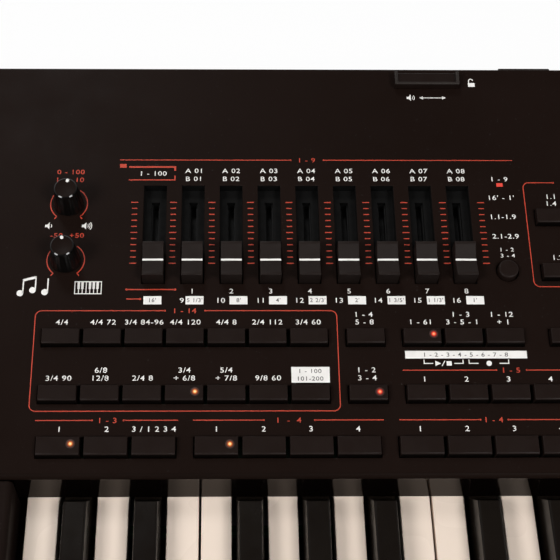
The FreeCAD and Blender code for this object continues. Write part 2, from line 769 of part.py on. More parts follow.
def left_end_block():
    """Left end moulding, with the hole and the ears of the joystick."""
    outer_side = "-calc.half_width"
    key_side = "-calc.half_width + dims.left_block_width"
    hollow = (f"{outer_side} + dims.cheek_thick", f"{key_side} - dims.wall_thick")
    piece = end_block("left_end_block", (outer_side, key_side), hollow, outer_side,
                      f"{outer_side} + dims.cheek_thick", key_side)
    ear_mid = "(calc.ear_inner + calc.ear_outer) / 2"
    ear_low = "calc.stick_z - dims.ring_thick"
    for name, sign in (("front_ear", "-"), ("back_ear", "+")):
        piece.pad(name, "XY", ear_low, "calc.block_top - dims.wall_thick",
                  centred("calc.stick_x", f"calc.stick_y {sign} {ear_mid}",
                          "dims.gimbal_ear_width", "dims.gimbal_ear_thick"))
    piece.pocket("ear_bore", "XZ", "calc.stick_y - calc.ear_outer", "calc.stick_y + calc.ear_outer",
                 circle("calc.stick_x", "calc.stick_z", "dims.gimbal_pin_radius + dims.gimbal_fit"))
    piece.pocket("stick_hole", "XY", "calc.block_top - dims.wall_thick", "calc.block_top",
                 circle("calc.stick_x", "calc.stick_y", "dims.stick_hole_radius"))


def right_end_block():
    """Right end moulding."""
    outer_side = "calc.half_width"
    key_side = "calc.key_right + dims.key_side_gap"
    hollow = (f"{key_side} + dims.wall_thick", f"{outer_side} - dims.cheek_thick")
    end_block("right_end_block", (key_side, outer_side), hollow, f"{outer_side} - dims.cheek_thick",
              f"{outer_side} - dims.cheek_thick - dims.ledge_width", key_side)


def key_slip():
    """Front rail between the end blocks, a channel that opens to the back."""
    back = "calc.front_y + dims.slip_depth"
    inner = "calc.front_y + dims.wall_thick"
    top = "dims.key_top - dims.slip_drop"
    Piece("key_slip").pad("rail", "YZ", "calc.slip_left", "calc.slip_right", [
        ("calc.front_y", "calc.floor_top"),
        (back, "calc.floor_top"),
        (back, "calc.floor_top + dims.wall_thick"),
        (inner, "calc.floor_top + dims.wall_thick"),
        (inner, f"{top} - dims.wall_thick"),
        (back, f"{top} - dims.wall_thick"),
        (back, top),
        ("calc.front_y", top)])


def rear_panel():
    """Rear wall that falls away behind the panel's back edge, with two bracket tabs and socket holes."""
    piece = Piece("rear_panel")
    edge_high = "calc.panel_back_z - dims.rear_drop"
    edge_low = f"{edge_high} - dims.rear_bevel"
    piece.pad("wall", "YZ", "-calc.panel_half", "calc.panel_half", [
        ("calc.rear_inner", "calc.floor_top"),
        ("calc.rear_y", "calc.floor_top"),
        ("calc.rear_y", edge_low),
        ("calc.rear_inner", edge_high)])
    tab = rectangle("calc.rear_inner", edge_low, "calc.rear_y", "calc.panel_back_z - dims.tab_drop")
    for name, middle in (("left_tab", "-dims.tab_out"), ("right_tab", "dims.tab_out")):
        piece.pad(name, "YZ", f"{middle} - dims.tab_width / 2", f"{middle} + dims.tab_width / 2", tab)
    jack = piece.pocket("jack_hole", "XZ", "calc.rear_inner", "calc.rear_y",
                        circle("-dims.jack_left", "dims.socket_z",
                               "dims.jack_bush_radius + dims.socket_fit"))
    piece.repeat("jack_holes", [jack], ("dims.jack_pitch", "dims.jack_count"))
    midi = piece.pocket("midi_hole", "XZ", "calc.rear_inner", "calc.rear_y",
                        circle("dims.midi_u", "dims.socket_z", "dims.midi_radius + dims.socket_fit"))
    piece.repeat("midi_holes", [midi], ("dims.midi_pitch", "dims.midi_count"))
    usb = piece.pocket("usb_hole", "XZ", "calc.rear_inner", "calc.rear_y",
                       centred("dims.usb_u", "dims.socket_z", "dims.usb_width + 2 * dims.socket_fit",
                               "dims.usb_height + 2 * dims.socket_fit"))
    piece.repeat("usb_holes", [usb], ("dims.usb_pitch", "dims.usb_count"))
    piece.pocket("inlet_hole", "XZ", "calc.rear_inner", "calc.rear_y",
                 centred("dims.inlet_u", "dims.socket_z", "dims.inlet_body_width + 2 * dims.socket_fit",
                         "dims.inlet_body_height + 2 * dims.socket_fit"))


def board_outlines():
    """Switch boards as u and v ranges that cover their buttons, with a margin."""
    margin = "dims.board_margin"
    low = f"dims.row_low - {margin}"
    high = f"calc.row_high + {margin}"
    pad_end = "calc.key_left + dims.memory_u + (dims.pad_count - 1) * dims.pad_pitch"
    mode_end = "calc.key_left + dims.mode_u + (dims.mode_columns - 1) * dims.pad_pitch"
    sound_end = "calc.key_right - dims.sound_u + (dims.style_columns - 1) * dims.style_pitch"
    left = rectangle(f"calc.key_left + dims.style_u - dims.cap_width / 2 - {margin}", low,
                     f"max({pad_end}; {mode_end}) + dims.cap_width / 2 + {margin}", high)
    mode_start = "calc.key_left + dims.slider_mode_u - dims.slider_mode_diameter / 2"
    mode = rectangle(f"{mode_start} - dims.cap_gap - 2 * dims.post_radius", f"calc.mode_row_low - {margin}",
                     f"{mode_end} + dims.cap_width / 2 + {margin}", f"calc.mode_row_high + {margin}")
    menu_start = "calc.key_right - dims.menu_u"
    menu_end = f"{menu_start} + (dims.menu_columns - 1) * dims.pad_pitch"
    menu = rectangle(f"{menu_start} - dims.cap_width / 2 - {margin}", f"calc.mode_row_low - {margin}",
                     f"{menu_end} + dims.cap_width / 2 + {margin}", f"calc.mode_row_high + {margin}")
    right = rectangle(f"calc.key_right - dims.performance_u - dims.bar_width / 2 - {margin}", low,
                      f"{sound_end} + dims.cap_width / 2 + {margin}", high)
    power = centred("calc.key_right - dims.power_u", "calc.power_v",
                    f"dims.power_size + 2 * {margin}", f"dims.power_size + 2 * {margin}")
    return {"left": left, "mode": mode, "menu": menu, "right": right, "power": power}


def control_panel():
    """Sloping top plate with its cut-outs, the wells of sliders and display, and board posts."""
    piece = Piece("control_panel", PANEL_FRAME)
    plate = piece.pad("plate", "XY", "-dims.panel_thick", "0",
                      rectangle("-calc.panel_half", "0", "calc.panel_half", "calc.panel_run"))
    piece.fillet("front_edge", plate, "dims.panel_round",
                 lambda box: near(box.YMax, 0) and near(box.ZMin, 0))
    fascia(piece)
    slider_wells(piece)
    display_well(piece)
    piece.pad("posts", "XY", "calc.board_top", "-dims.panel_thick",
              *[post for outline in board_outlines().values() for post in corner_posts(outline)])
    cuts = [cut for blocks in BUTTONS.values() for block in blocks for cut in row_cuts(block)]
    piece.pocket("button_cuts", "XY", "-dims.panel_thick", "0", *cuts)
    piece.pocket("shaft_holes", "XY", "-dims.panel_thick", "0",
                 *[circle(u, v, "dims.shaft_radius + dims.shaft_fit") for u, v in rotary_places().values()])
    slot = "dims.lock_neck_width + dims.lock_travel + 2 * dims.cap_gap"
    piece.pocket("lock_slot", "XY", "-dims.panel_thick", "0",
                 centred("calc.key_left + dims.lock_u - dims.lock_travel / 2", "calc.lock_v", slot,
                         "dims.lock_neck_depth + 2 * dims.cap_gap"))


def in_panel(ahead, rise):
    """Panel coordinates of a point given by its place behind and above the panel's front edge."""
    return (f"({ahead}) * cos(dims.panel_tilt) + ({rise}) * sin(dims.panel_tilt)",
            f"({rise}) * cos(dims.panel_tilt) - ({ahead}) * sin(dims.panel_tilt)")


def fascia(piece):
    """Front face of the panel, which leans down from its rounded edge to the white keys."""
    drop = "dims.fascia_gap - dims.panel_step"
    piece.pad("fascia", "YZ", "calc.slip_left", "calc.slip_right", [
        ("0", "-dims.panel_round"),
        in_panel("-dims.fascia_lean", drop),
        in_panel("-dims.fascia_lean + dims.fascia_thick", drop),
        ("dims.fascia_thick", "-dims.panel_thick"),
        ("dims.fascia_thick", "-dims.panel_round")])


def slider_wells(piece):
    """Thickened field with a trough and a lever slot for each slider."""
    edge = "calc.trough_width / 2 + dims.well_margin"
    half = "calc.trough_length / 2 + dims.well_margin"
    piece.pad("slider_field", "XY", "-dims.well_depth", "-dims.panel_thick",
              rectangle(f"calc.slider_left - ({edge})", f"calc.trough_mid - ({half})",
                        f"calc.slider_right + {edge}", f"calc.trough_mid + {half}"))
    trough = piece.pocket("trough", "XY", "-dims.trough_depth", "0",
                          centred("calc.slider_left", "calc.trough_mid", "calc.trough_width",
                                  "calc.trough_length"))
    slot = piece.pocket("lever_slot", "XY", "-dims.well_depth", "0",
                        centred("calc.slider_left", "calc.trough_mid",
                                "dims.lever_width + 2 * dims.lever_gap", "calc.lever_slot"))
    piece.repeat("troughs", [trough, slot], ("dims.slider_pitch", "dims.slider_count"))


def display_well(piece):
    """Open box under the panel in which the display lies, with bores for its hinge pins."""
    left = "calc.display_left - dims.display_gap"
    right = "calc.display_left + dims.display_width + dims.display_gap"
    front = "calc.display_v - dims.display_gap"
    back = "calc.display_v + calc.display_depth + dims.display_gap"
    piece.pad("display_box", "XY", "calc.display_floor - dims.well_wall", "-dims.panel_thick",
              rectangle(f"{left} - dims.well_wall", f"{front} - dims.well_wall",
                        f"{right} + dims.well_wall", f"{back} + dims.well_wall"))
    piece.pocket("display_well", "XY", "calc.display_floor", "0",
                 rectangle(left, front, right, back))
    piece.pocket("hinge_bore", "YZ", f"{left} - dims.well_wall", f"{right} + dims.well_wall",
                 circle("calc.hinge_v", "calc.hinge_w", "dims.hinge_radius + dims.hinge_fit"))


def corner_posts(outline):
    """Round posts at the corners of a switch board."""
    (left, low), (right, high) = outline[0], outline[2]
    inset = "dims.post_radius"
    return [circle(x, y, inset) for x in (f"{left} + {inset}", f"{right} - {inset}")
            for y in (f"{low} + {inset}", f"{high} - {inset}")]


def row_cuts(block):
    """Cut-outs in the panel: a long one for each row of a block, or a round one for a round button."""
    if block.is_round:
        return [first_outline(block, "0", "dims.cap_gap")]
    left = f"{block.u} - {block.wide} / 2 - dims.cap_gap"
    right = f"{block.u} + ({block.columns} - 1) * {block.pitch} + {block.wide} / 2 + dims.cap_gap"
    half = f"({block.deep} / 2 + dims.cap_gap)"
    rows = [f"{block.v} + {row} * ({block.row_pitch})" for row in range(int(value(block.rows)))]
    return [rectangle(left, f"{row} - {half}", right, f"{row} + {half}") for row in rows]


def rotary_places():
    """Centres of the rotary controls on the panel."""
    knob_u = "calc.key_left + dims.knob_u"
    return {"master_volume_knob": (knob_u, "calc.volume_v"),
            "balance_knob": (knob_u, "calc.balance_v"),
            "data_dial": ("calc.key_right - dims.dial_u", "calc.dial_v")}


def panel_boards():
    """Circuit boards on the panel's posts, with one push switch under each button."""
    piece = Piece("panel_boards", PANEL_FRAME)
    for name, outline in board_outlines().items():
        piece.pad(f"{name}_board", "XY", "calc.board_top - dims.board_thick", "calc.board_top", outline)
    for label, blocks in BUTTONS.items():
        for number, block in enumerate(blocks):
            switch = piece.pad(f"{label}_{number}_switch", "XY", "calc.board_top", "calc.switch_top",
                               centred(block.u, block.v, "dims.switch_width", "dims.switch_width"))
            repeat_block(piece, f"{label}_{number}_switches", [switch], block)


def panel_pots():
    """Slide potentiometers under the troughs, and rotary ones under the knobs and the dial."""
    piece = Piece("panel_pots", PANEL_FRAME)
    length = "calc.lever_slot + 2 * dims.slide_pot_margin"
    top = "-dims.well_depth"
    body = piece.pad("slide_body", "XY", f"{top} - dims.slide_pot_height", top,
                     centred("calc.slider_left", "calc.trough_mid", "dims.slide_pot_width", length))
    slot = piece.pocket("slide_slot", "XY", f"{top} - dims.lever_reach - dims.lever_gap", top,
                        centred("calc.slider_left", "calc.trough_mid",
                                "dims.lever_width + 2 * dims.pot_gap", "calc.lever_slot"))
    piece.repeat("slide_pots", [body, slot], ("dims.slider_pitch", "dims.slider_count"))
    top = "-dims.panel_thick"
    for name, (u, v) in rotary_places().items():
        piece.pad(f"{name}_pot", "XY", f"{top} - dims.rotary_pot_height", top,
                  centred(u, v, "dims.rotary_pot_width", "dims.rotary_pot_width"))
        piece.pocket(f"{name}_bore", "XY", f"{top} - dims.shaft_reach - dims.rest_gap", top,
                     circle(u, v, "dims.shaft_radius + dims.shaft_fit"))


def slider_caps():
    """Fader caps: a block in the trough, hollowed for the finger, and the lever below."""
    half = "dims.slider_cap_length / 2"
    slope_end = f"({half} - dims.slider_lip)"
    valley = "dims.slider_valley_width / 2"
    low = "-dims.trough_depth + dims.cap_gap"
    for number in range(int(value("dims.slider_count"))):
        piece = Piece(f"slider_cap_{number + 1}", PANEL_FRAME)
        middle = f"calc.slider_left + {number} * dims.slider_pitch"
        piece.pad("cap", "YZ", f"{middle} - dims.slider_cap_width / 2",
                  f"{middle} + dims.slider_cap_width / 2", [
                      (f"calc.slider_v - {half}", low),
                      (f"calc.slider_v + {half}", low),
                      (f"calc.slider_v + {half}", "dims.slider_end_rise"),
                      (f"calc.slider_v + {slope_end}", "dims.slider_end_rise"),
                      (f"calc.slider_v + {valley}", "dims.slider_valley_rise"),
                      (f"calc.slider_v - {valley}", "dims.slider_valley_rise"),
                      (f"calc.slider_v - {slope_end}", "dims.slider_end_rise"),
                      (f"calc.slider_v - {half}", "dims.slider_end_rise")])
        piece.pad("lever", "XY", "-dims.well_depth - dims.lever_reach", low,
                  centred(middle, "calc.slider_v", "dims.lever_width", "dims.lever_length"))


def rotary_frame(u, v):
    """Placement of a rotary control on the panel."""
    y = f"calc.panel_y + {v} * cos(dims.panel_tilt)"
    z = f"calc.panel_z + {v} * sin(dims.panel_tilt)"
    return at(u, y, z, "rotation(vector(1; 0; 0); dims.panel_tilt)")


def knobs():
    """Two tapered knobs with a dished top, each on its pot's shaft."""
    places = rotary_places()
    for label in ("master_volume_knob", "balance_knob"):
        piece = Piece(label, rotary_frame(*places[label]))
        piece.spin("turned", [
            ("0", "-dims.panel_thick - dims.shaft_reach"),
            ("dims.shaft_radius", "-dims.panel_thick - dims.shaft_reach"),
            ("dims.shaft_radius", "dims.knob_lift"),
            ("dims.knob_radius", "dims.knob_lift"),
            ("dims.knob_top_radius", "dims.knob_height"),
            ("dims.knob_top_radius - dims.knob_dish", "dims.knob_height"),
            ("0", "dims.knob_height - dims.knob_dish")])


def data_dial():
    """Large turning wheel with a finger dimple."""
    piece = Piece("data_dial", rotary_frame(*rotary_places()["data_dial"]))
    piece.spin("turned", [
        ("0", "-dims.panel_thick - dims.shaft_reach"),
        ("dims.shaft_radius", "-dims.panel_thick - dims.shaft_reach"),
        ("dims.shaft_radius", "dims.knob_lift"),
        ("dims.dial_radius", "dims.knob_lift"),
        ("dims.dial_radius - dims.knob_dish", "dims.dial_height"),
        ("0", "dims.dial_height")])
    reach = "dims.dial_radius - dims.dial_dimple_radius - 2 * dims.knob_dish"
    piece.pocket("dimple", "XY", "dims.dial_height - dims.dial_dimple_depth", "dims.dial_height",
                 circle("0", reach, "dims.dial_dimple_radius"))


def speaker_lock():
    """Sliding tray near the back edge, with a neck through the panel and a foot below it."""
    piece = Piece("speaker_lock", PANEL_FRAME)
    u = "calc.key_left + dims.lock_u"
    foot_top = "-dims.panel_thick - dims.lock_lift"
    piece.pad("tab", "XY", "dims.lock_lift", "dims.lock_rise",
              centred(u, "calc.lock_v", "dims.lock_width", "dims.lock_depth"))
    half_width = "(dims.lock_width / 2 - dims.lock_rim)"
    piece.pocket("tray", "XY", "dims.lock_rise - dims.lock_tray", "dims.lock_rise",
                 rectangle(f"{u} - {half_width}", "calc.lock_v - dims.lock_depth / 2 + dims.lock_rim",
                           f"{u} + {half_width}", "calc.lock_v + dims.lock_depth / 2"))
    piece.pad("neck", "XY", foot_top, "dims.lock_lift",
              centred(u, "calc.lock_v", "dims.lock_neck_width", "dims.lock_neck_depth"))
    piece.pad("foot", "XY", f"{foot_top} - dims.lock_foot_thick", foot_top,
              centred(u, "calc.lock_v", "dims.lock_foot_width", "dims.lock_foot_depth"))


def display():
    """Display that tilts up on two pins near its front edge, and its glass."""
    body = primitive("Box", "display_body", at("calc.display_left", "calc.hinge_v", "calc.display_low"),
                     Length="dims.display_width", Width="calc.display_depth - dims.display_thick / 2",
                     Height="dims.display_thick")
    front = primitive("Cylinder", "display_front",
                      at("calc.display_left", "calc.hinge_v", "calc.hinge_w", ALONG_X),
                      Radius="dims.display_thick / 2", Height="dims.display_width")
    pins = primitive("Cylinder", "display_pins",
                     at("calc.display_left - dims.hinge_reach", "calc.hinge_v", "calc.hinge_w", ALONG_X),
                     Radius="dims.hinge_radius", Height="dims.display_width + 2 * dims.hinge_reach")
    joined = finish_boolean("MultiFuse", "display_joined", [body, front, pins])
    recess_low = "dims.display_rise - dims.glass_drop - dims.glass_thick"
    recess_place = at("calc.display_left + dims.display_frame", "calc.display_v + dims.display_frame",
                      recess_low)
    recess = primitive("Box", "display_recess", recess_place,
                       Length="dims.display_width - 2 * dims.display_frame",
                       Width="calc.display_depth - 2 * dims.display_frame",
                       Height="dims.glass_thick + 2 * dims.glass_drop")
    NODES.append(finish_boolean("Cut", "display_housing", (joined, recess), PANEL_FRAME))
    inset = "dims.display_frame + dims.glass_gap"
    piece = Piece("display_screen", PANEL_FRAME)
    piece.pad("glass", "XY", recess_low, "dims.display_rise - dims.glass_drop",
              rectangle(f"calc.display_left + {inset}", f"calc.display_v + {inset}",
                        f"calc.display_left + dims.display_width - ({inset})",
                        f"calc.display_v + calc.display_depth - ({inset})"))


def joystick():
    """Gimbal ring that rocks on two pins in the end block, and the stick that rocks in it."""
    ring = Piece("joystick_ring", at("calc.stick_x", "calc.stick_y", "calc.stick_z"))
    ring.pad("ring", "XY", "-dims.ring_thick / 2", "dims.ring_thick / 2",
             centred("0", "0", "2 * calc.ring_outer", "2 * calc.ring_outer"),
             centred("0", "0", "2 * calc.ring_inner", "2 * calc.ring_inner"))
    pin = circle("0", "0", "dims.gimbal_pin_radius")
    ring.pad("front_pin", "XZ", "-calc.ear_outer", "-calc.ring_outer", pin)
    ring.pad("back_pin", "XZ", "calc.ring_outer", "calc.ear_outer", pin)
    ring.pocket("bore", "YZ", "-calc.ring_outer", "calc.ring_outer",
                circle("0", "0", "dims.gimbal_pin_radius + dims.gimbal_fit"))
    here = at("0", "0", "0")
    dome = primitive("Sphere", "stick_dome", here, Radius="dims.dome_ball_radius",
                     Angle1="-dims.dome_ball_cut")
    shaft = primitive("Cylinder", "stick_shaft", here, Radius="dims.stick_radius",
                      Height="dims.stick_height")
    grip = primitive("Sphere", "stick_grip", at("0", "0", "dims.stick_height"),
                     Radius="dims.stick_grip_radius")
    pins = primitive("Cylinder", "stick_pins", at("-calc.ring_outer", "0", "0", ALONG_X),
                     Radius="dims.gimbal_pin_radius", Height="2 * calc.ring_outer")
    NODES.append(finish_boolean("MultiFuse", "joystick_stick", [dome, shaft, grip, pins],
                                at("calc.stick_x", "calc.stick_y", "calc.stick_z")))


def keybed_frame():
    """Folded steel channel under the keys, with an ear at each end for the pivot rod."""
    piece = Piece("keybed_frame")
    under = "calc.frame_top - dims.frame_thick"
    piece.pad("channel", "YZ", "calc.slip_left", "calc.slip_right", [
        ("calc.frame_front", "calc.floor_top"),
        ("calc.frame_front + dims.frame_thick", "calc.floor_top"),
        ("calc.frame_front + dims.frame_thick", under),
        ("calc.frame_back - dims.frame_thick", under),
        ("calc.frame_back - dims.frame_thick", "calc.floor_top"),
        ("calc.frame_back", "calc.floor_top"),
        ("calc.frame_back", "calc.frame_top"),
        ("calc.frame_front", "calc.frame_top")])
    ear = rectangle("calc.pivot_y - dims.frame_past", "calc.frame_top", "calc.frame_back",
                    "calc.pivot_z + dims.frame_past")
    piece.pad("left_ear", "YZ", "calc.slip_left", "calc.slip_left + dims.frame_thick", ear)
    piece.pad("right_ear", "YZ", "calc.slip_right - dims.frame_thick", "calc.slip_right", ear)
    piece.pocket("rod_bore", "YZ", "calc.slip_left", "calc.slip_right",
                 circle("calc.pivot_y", "calc.pivot_z", "dims.pivot_radius + dims.pivot_fit"))


def key_pivot_rod():
    """Steel rod on which all the keys rock."""
    Piece("key_pivot_rod").pad("rod", "YZ", "calc.slip_left", "calc.slip_right",
                               circle("calc.pivot_y", "calc.pivot_z", "dims.pivot_radius"))


def key_return_springs():
    """Comb of leaf springs, one under each key."""
    piece = Piece("key_return_springs")
    strip_top = "calc.frame_top + dims.spring_thick"
    piece.pad("strip", "YZ", "calc.key_left", "calc.key_right",
              rectangle("calc.spring_root", "calc.frame_top",
                        "calc.spring_root + dims.spring_strip_width", strip_top))
    middle = "calc.key_left + calc.mean_tail / 2"
    half = "dims.spring_width / 2"
    leaf = piece.pad("leaf", "YZ", f"{middle} - {half}", f"{middle} + {half}", [
        ("calc.spring_root", "calc.frame_top"),
        ("calc.spring_root + dims.spring_thick", strip_top),
        ("calc.spring_tip + dims.spring_thick", "calc.spring_tip_z"),
        ("calc.spring_tip", "calc.spring_tip_z - dims.spring_thick")])
    piece.repeat("leaves", [leaf], ("calc.mean_tail", "calc.key_count"))


def key_felt_strip():
    """Felt stop for the fronts of the keys."""
    Piece("key_felt_strip").pad("felt", "YZ", "calc.key_left", "calc.key_right",
                                rectangle("calc.felt_front", "calc.frame_top",
                                          "calc.felt_front + dims.felt_width", "calc.felt_top"))


def contact_board():
    """Circuit board with the key contacts."""
    half = "dims.contact_board_width / 2"
    Piece("contact_board").pad("board", "YZ", "calc.key_left", "calc.key_right",
                               rectangle(f"calc.contact_y - {half}", "calc.frame_top",
                                         f"calc.contact_y + {half}", "calc.frame_top + dims.board_thick"))


def dome_strip():
    """Rubber strip with one contact dome under each key."""
    piece = Piece("dome_strip")
    half = "dims.dome_strip_width / 2"
    piece.pad("strip", "YZ", "calc.key_left", "calc.key_right",
              rectangle(f"calc.contact_y - {half}", "calc.frame_top + dims.board_thick",
                        f"calc.contact_y + {half}", "calc.dome_base"))
    dome = piece.pad("dome", "XY", "calc.dome_base", "calc.dome_top",
                     circle("calc.key_left + calc.mean_tail / 2", "calc.contact_y", "dims.dome_radius"))
    piece.repeat("domes", [dome], ("calc.mean_tail", "calc.key_count"))


# Notes of an octave: the white keys with the tail they start at and the sides that are cut away
WHITE_KEYS = {
    "key_c": (0, "calc.low_tail * 0", "calc.low_tail", False, True),
    "key_d": (1, "calc.low_tail * 2", "calc.low_tail", True, True),
    "key_e": (2, "calc.low_tail * 4", "calc.low_tail", True, False),
    "key_f": (3, "3 * dims.white_pitch", "calc.high_tail", False, True),
    "key_g": (4, "3 * dims.white_pitch + calc.high_tail * 2", "calc.high_tail", True, True),
    "key_a": (5, "3 * dims.white_pitch + calc.high_tail * 4", "calc.high_tail", True, True),
    "key_b": (6, "3 * dims.white_pitch + calc.high_tail * 6", "calc.high_tail", True, False),
}
BLACK_KEYS = {
    "key_c_sharp": "calc.low_tail * 1.5",
    "key_d_sharp": "calc.low_tail * 3.5",
    "key_f_sharp": "3 * dims.white_pitch + calc.high_tail * 1.5",
    "key_g_sharp": "3 * dims.white_pitch + calc.high_tail * 3.5",
    "key_a_sharp": "3 * dims.white_pitch + calc.high_tail * 5.5",
}


def pivot_bore(piece, name, left, right):
    """Hole for the pivot rod between two stations along X."""
    return piece.pocket(name, "YZ", left, right,
                        circle("calc.pivot_y", "calc.pivot_z", "dims.pivot_radius + dims.pivot_fit"))


def contact_boss(piece, name, middle):
    """Block under a key that presses its dome."""
    return piece.pad(name, "XY", "calc.white_under - dims.boss_drop", "calc.white_under",
                     centred(middle, "calc.contact_y", "dims.boss_width", "dims.boss_width"))


def white_key(piece, name, head, tail):
    """Features of one white key from its head's sides and its tail's sides along X."""
    points = [(head[0], "calc.white_front"), (head[1], "calc.white_front")]
    if tail[1] != head[1]:
        points += [(head[1], "calc.head_back"), (tail[1], "calc.head_back")]
    points += [(tail[1], "calc.key_rear"), (tail[0], "calc.key_rear")]
    if tail[0] != head[0]:
        points += [(tail[0], "calc.head_back"), (head[0], "calc.head_back")]
    slab = piece.pad(f"{name}_slab", "XY", "calc.white_under", "dims.key_top", points)
    lip = piece.pad(f"{name}_lip", "XY", "dims.key_top - dims.lip_drop", "calc.white_under",
                    rectangle(head[0], "calc.white_front", head[1], "calc.white_front + dims.lip_thick"))
    boss = contact_boss(piece, f"{name}_boss", f"(({tail[0]}) + ({tail[1]})) / 2")
    bore = pivot_bore(piece, f"{name}_bore", *tail)
    return [slab, lip, boss, bore]


def white_keys():
    """Each white note over all octaves, and the highest C with an uncut head."""
    for label, (index, tail_left, tail_wide, cut_left, cut_right) in WHITE_KEYS.items():
        piece = Piece(label)
        left = f"calc.key_left + {index} * dims.white_pitch"
        head = (f"{left} + dims.key_gap / 2", f"{left} + dims.white_pitch - dims.key_gap / 2")
        start = f"calc.key_left + {tail_left} + dims.tail_gap / 2"
        end = f"calc.key_left + {tail_left} + {tail_wide} - dims.tail_gap / 2"
        tail = (start if cut_left else head[0], end if cut_right else head[1])
        features = white_key(piece, "first", head, tail)
        piece.repeat("octaves", features, ("calc.octave", "dims.octave_count"))
        if label == "key_c":
            left = "calc.key_right - dims.white_pitch"
            head = (f"{left} + dims.key_gap / 2", "calc.key_right - dims.key_gap / 2")
            white_key(piece, "highest", head, head)


def black_keys():
    """Each black note over all octaves: a low tail and a raised block with slanted ends."""
    front = "calc.panel_y - dims.black_show"
    raised_back = "calc.panel_y - dims.fascia_lean - dims.black_back_gap"
    top = "dims.key_top + dims.black_rise"
    shoulder = "dims.key_top + dims.black_side_rise"
    for label, offset in BLACK_KEYS.items():
        piece = Piece(label)
        middle = f"calc.key_left + {offset}"
        left = f"{middle} - dims.black_width / 2"
        right = f"{middle} + dims.black_width / 2"
        tail = piece.pad("tail", "XY", "calc.white_under", "dims.key_top",
                         rectangle(left, front, right, "calc.key_rear"))
        crest = piece.pad("crest", "XZ", front, raised_back, [
            (left, "dims.key_top"),
            (right, "dims.key_top"),
            (right, shoulder),
            (f"{middle} + dims.black_top_width / 2", top),
            (f"{middle} - dims.black_top_width / 2", top),
            (left, shoulder)])
        slant = piece.pocket("slant", "YZ", left, right, [
            (front, shoulder),
            (f"{front} + dims.black_slant", top),
            (front, top)], [
            (raised_back, shoulder),
            (raised_back, top),
            (f"{raised_back} - dims.black_back_slant", top)])
        boss = contact_boss(piece, "boss", middle)
        bore = pivot_bore(piece, "bore", left, right)
        piece.repeat("octaves", [tail, crest, slant, boss, bore], ("calc.octave", "dims.octave_count"))


def main_board():
    """Main circuit board on four posts, with its large chips."""
    piece = Piece("main_board")
    low = "calc.floor_top + dims.standoff_height"
    board_front = "calc.inner_back - calc.main_board_depth"
    piece.pad("board", "XY", low, f"{low} + dims.board_thick",
              rectangle("-dims.main_board_left", board_front,
                        "-dims.main_board_left + dims.main_board_width", "calc.inner_back"))
    chip_low = f"{low} + dims.board_thick"
    chip = piece.pad("chip", "XY", chip_low, f"{chip_low} + dims.chip_height",
                     centred("-dims.main_board_left + dims.chip_pitch",
                             "calc.inner_back - calc.main_board_depth / 2",
                             "dims.chip_size", "dims.chip_size"))
    piece.repeat("chips", [chip], ("dims.chip_pitch", "dims.chip_count"))


def power_supply():
    """Boxed mains supply on the lower case."""
    Piece("power_supply").pad("box", "XY", "calc.floor_top", "calc.floor_top + dims.supply_height",
                              rectangle("dims.supply_right", "calc.inner_back - calc.supply_depth",
                                        "dims.supply_right + dims.supply_width", "calc.inner_back"))


def phone_jacks():
    """Row of phone jacks, each held to the rear wall by its nut."""
    piece = Piece("phone_jacks")
    u = "-dims.jack_left"
    outer = "calc.rear_y + dims.jack_nut_thick"
    inner = "calc.rear_inner - dims.jack_length"
    shell = piece.pad("shell", "XZ", inner, "calc.rear_inner",
                      centred(u, "dims.socket_z", "dims.jack_size", "dims.jack_size"))
    bush = piece.pad("bush", "XZ", "calc.rear_inner", "calc.rear_y",
                     circle(u, "dims.socket_z", "dims.jack_bush_radius"))
    nut = piece.pad("nut", "XZ", "calc.rear_y", outer, circle(u, "dims.socket_z", "dims.jack_nut_radius"))
    bore = piece.pocket("bore", "XZ", f"{inner} + dims.wall_thick", outer,
                        circle(u, "dims.socket_z", "dims.jack_bore"))
    piece.repeat("jacks", [shell, bush, nut, bore], ("dims.jack_pitch", "dims.jack_count"))


def data_sockets():
    """Round and flat data sockets that look out through the rear wall."""
    piece = Piece("data_sockets")
    inner = "calc.rear_inner - dims.socket_length"
    shell = piece.pad("round_shell", "XZ", inner, "calc.rear_inner",
                      centred("dims.midi_u", "dims.socket_z", "dims.socket_size", "dims.socket_size"))
    face = piece.pad("round_face", "XZ", "calc.rear_inner", "calc.rear_y",
                     circle("dims.midi_u", "dims.socket_z", "dims.midi_radius"))
    bore = piece.pocket("round_bore", "XZ", "calc.rear_y - dims.midi_bore_depth", "calc.rear_y",
                        circle("dims.midi_u", "dims.socket_z", "dims.midi_bore"))
    piece.repeat("round_sockets", [shell, face, bore], ("dims.midi_pitch", "dims.midi_count"))
    shell = piece.pad("flat_shell", "XZ", inner, "calc.rear_inner",
                      centred("dims.usb_u", "dims.socket_z", "dims.socket_size", "dims.socket_size"))
    face = piece.pad("flat_face", "XZ", "calc.rear_inner", "calc.rear_y",
                     centred("dims.usb_u", "dims.socket_z", "dims.usb_width", "dims.usb_height"))
    mouth = piece.pocket("flat_mouth", "XZ", "calc.rear_y - dims.usb_depth", "calc.rear_y",
                         centred("dims.usb_u", "dims.socket_z", "dims.usb_width - 2 * dims.usb_wall",
                                 "dims.usb_height - 2 * dims.usb_wall"))
    piece.repeat("flat_sockets", [shell, face, mouth], ("dims.usb_pitch", "dims.usb_count"))


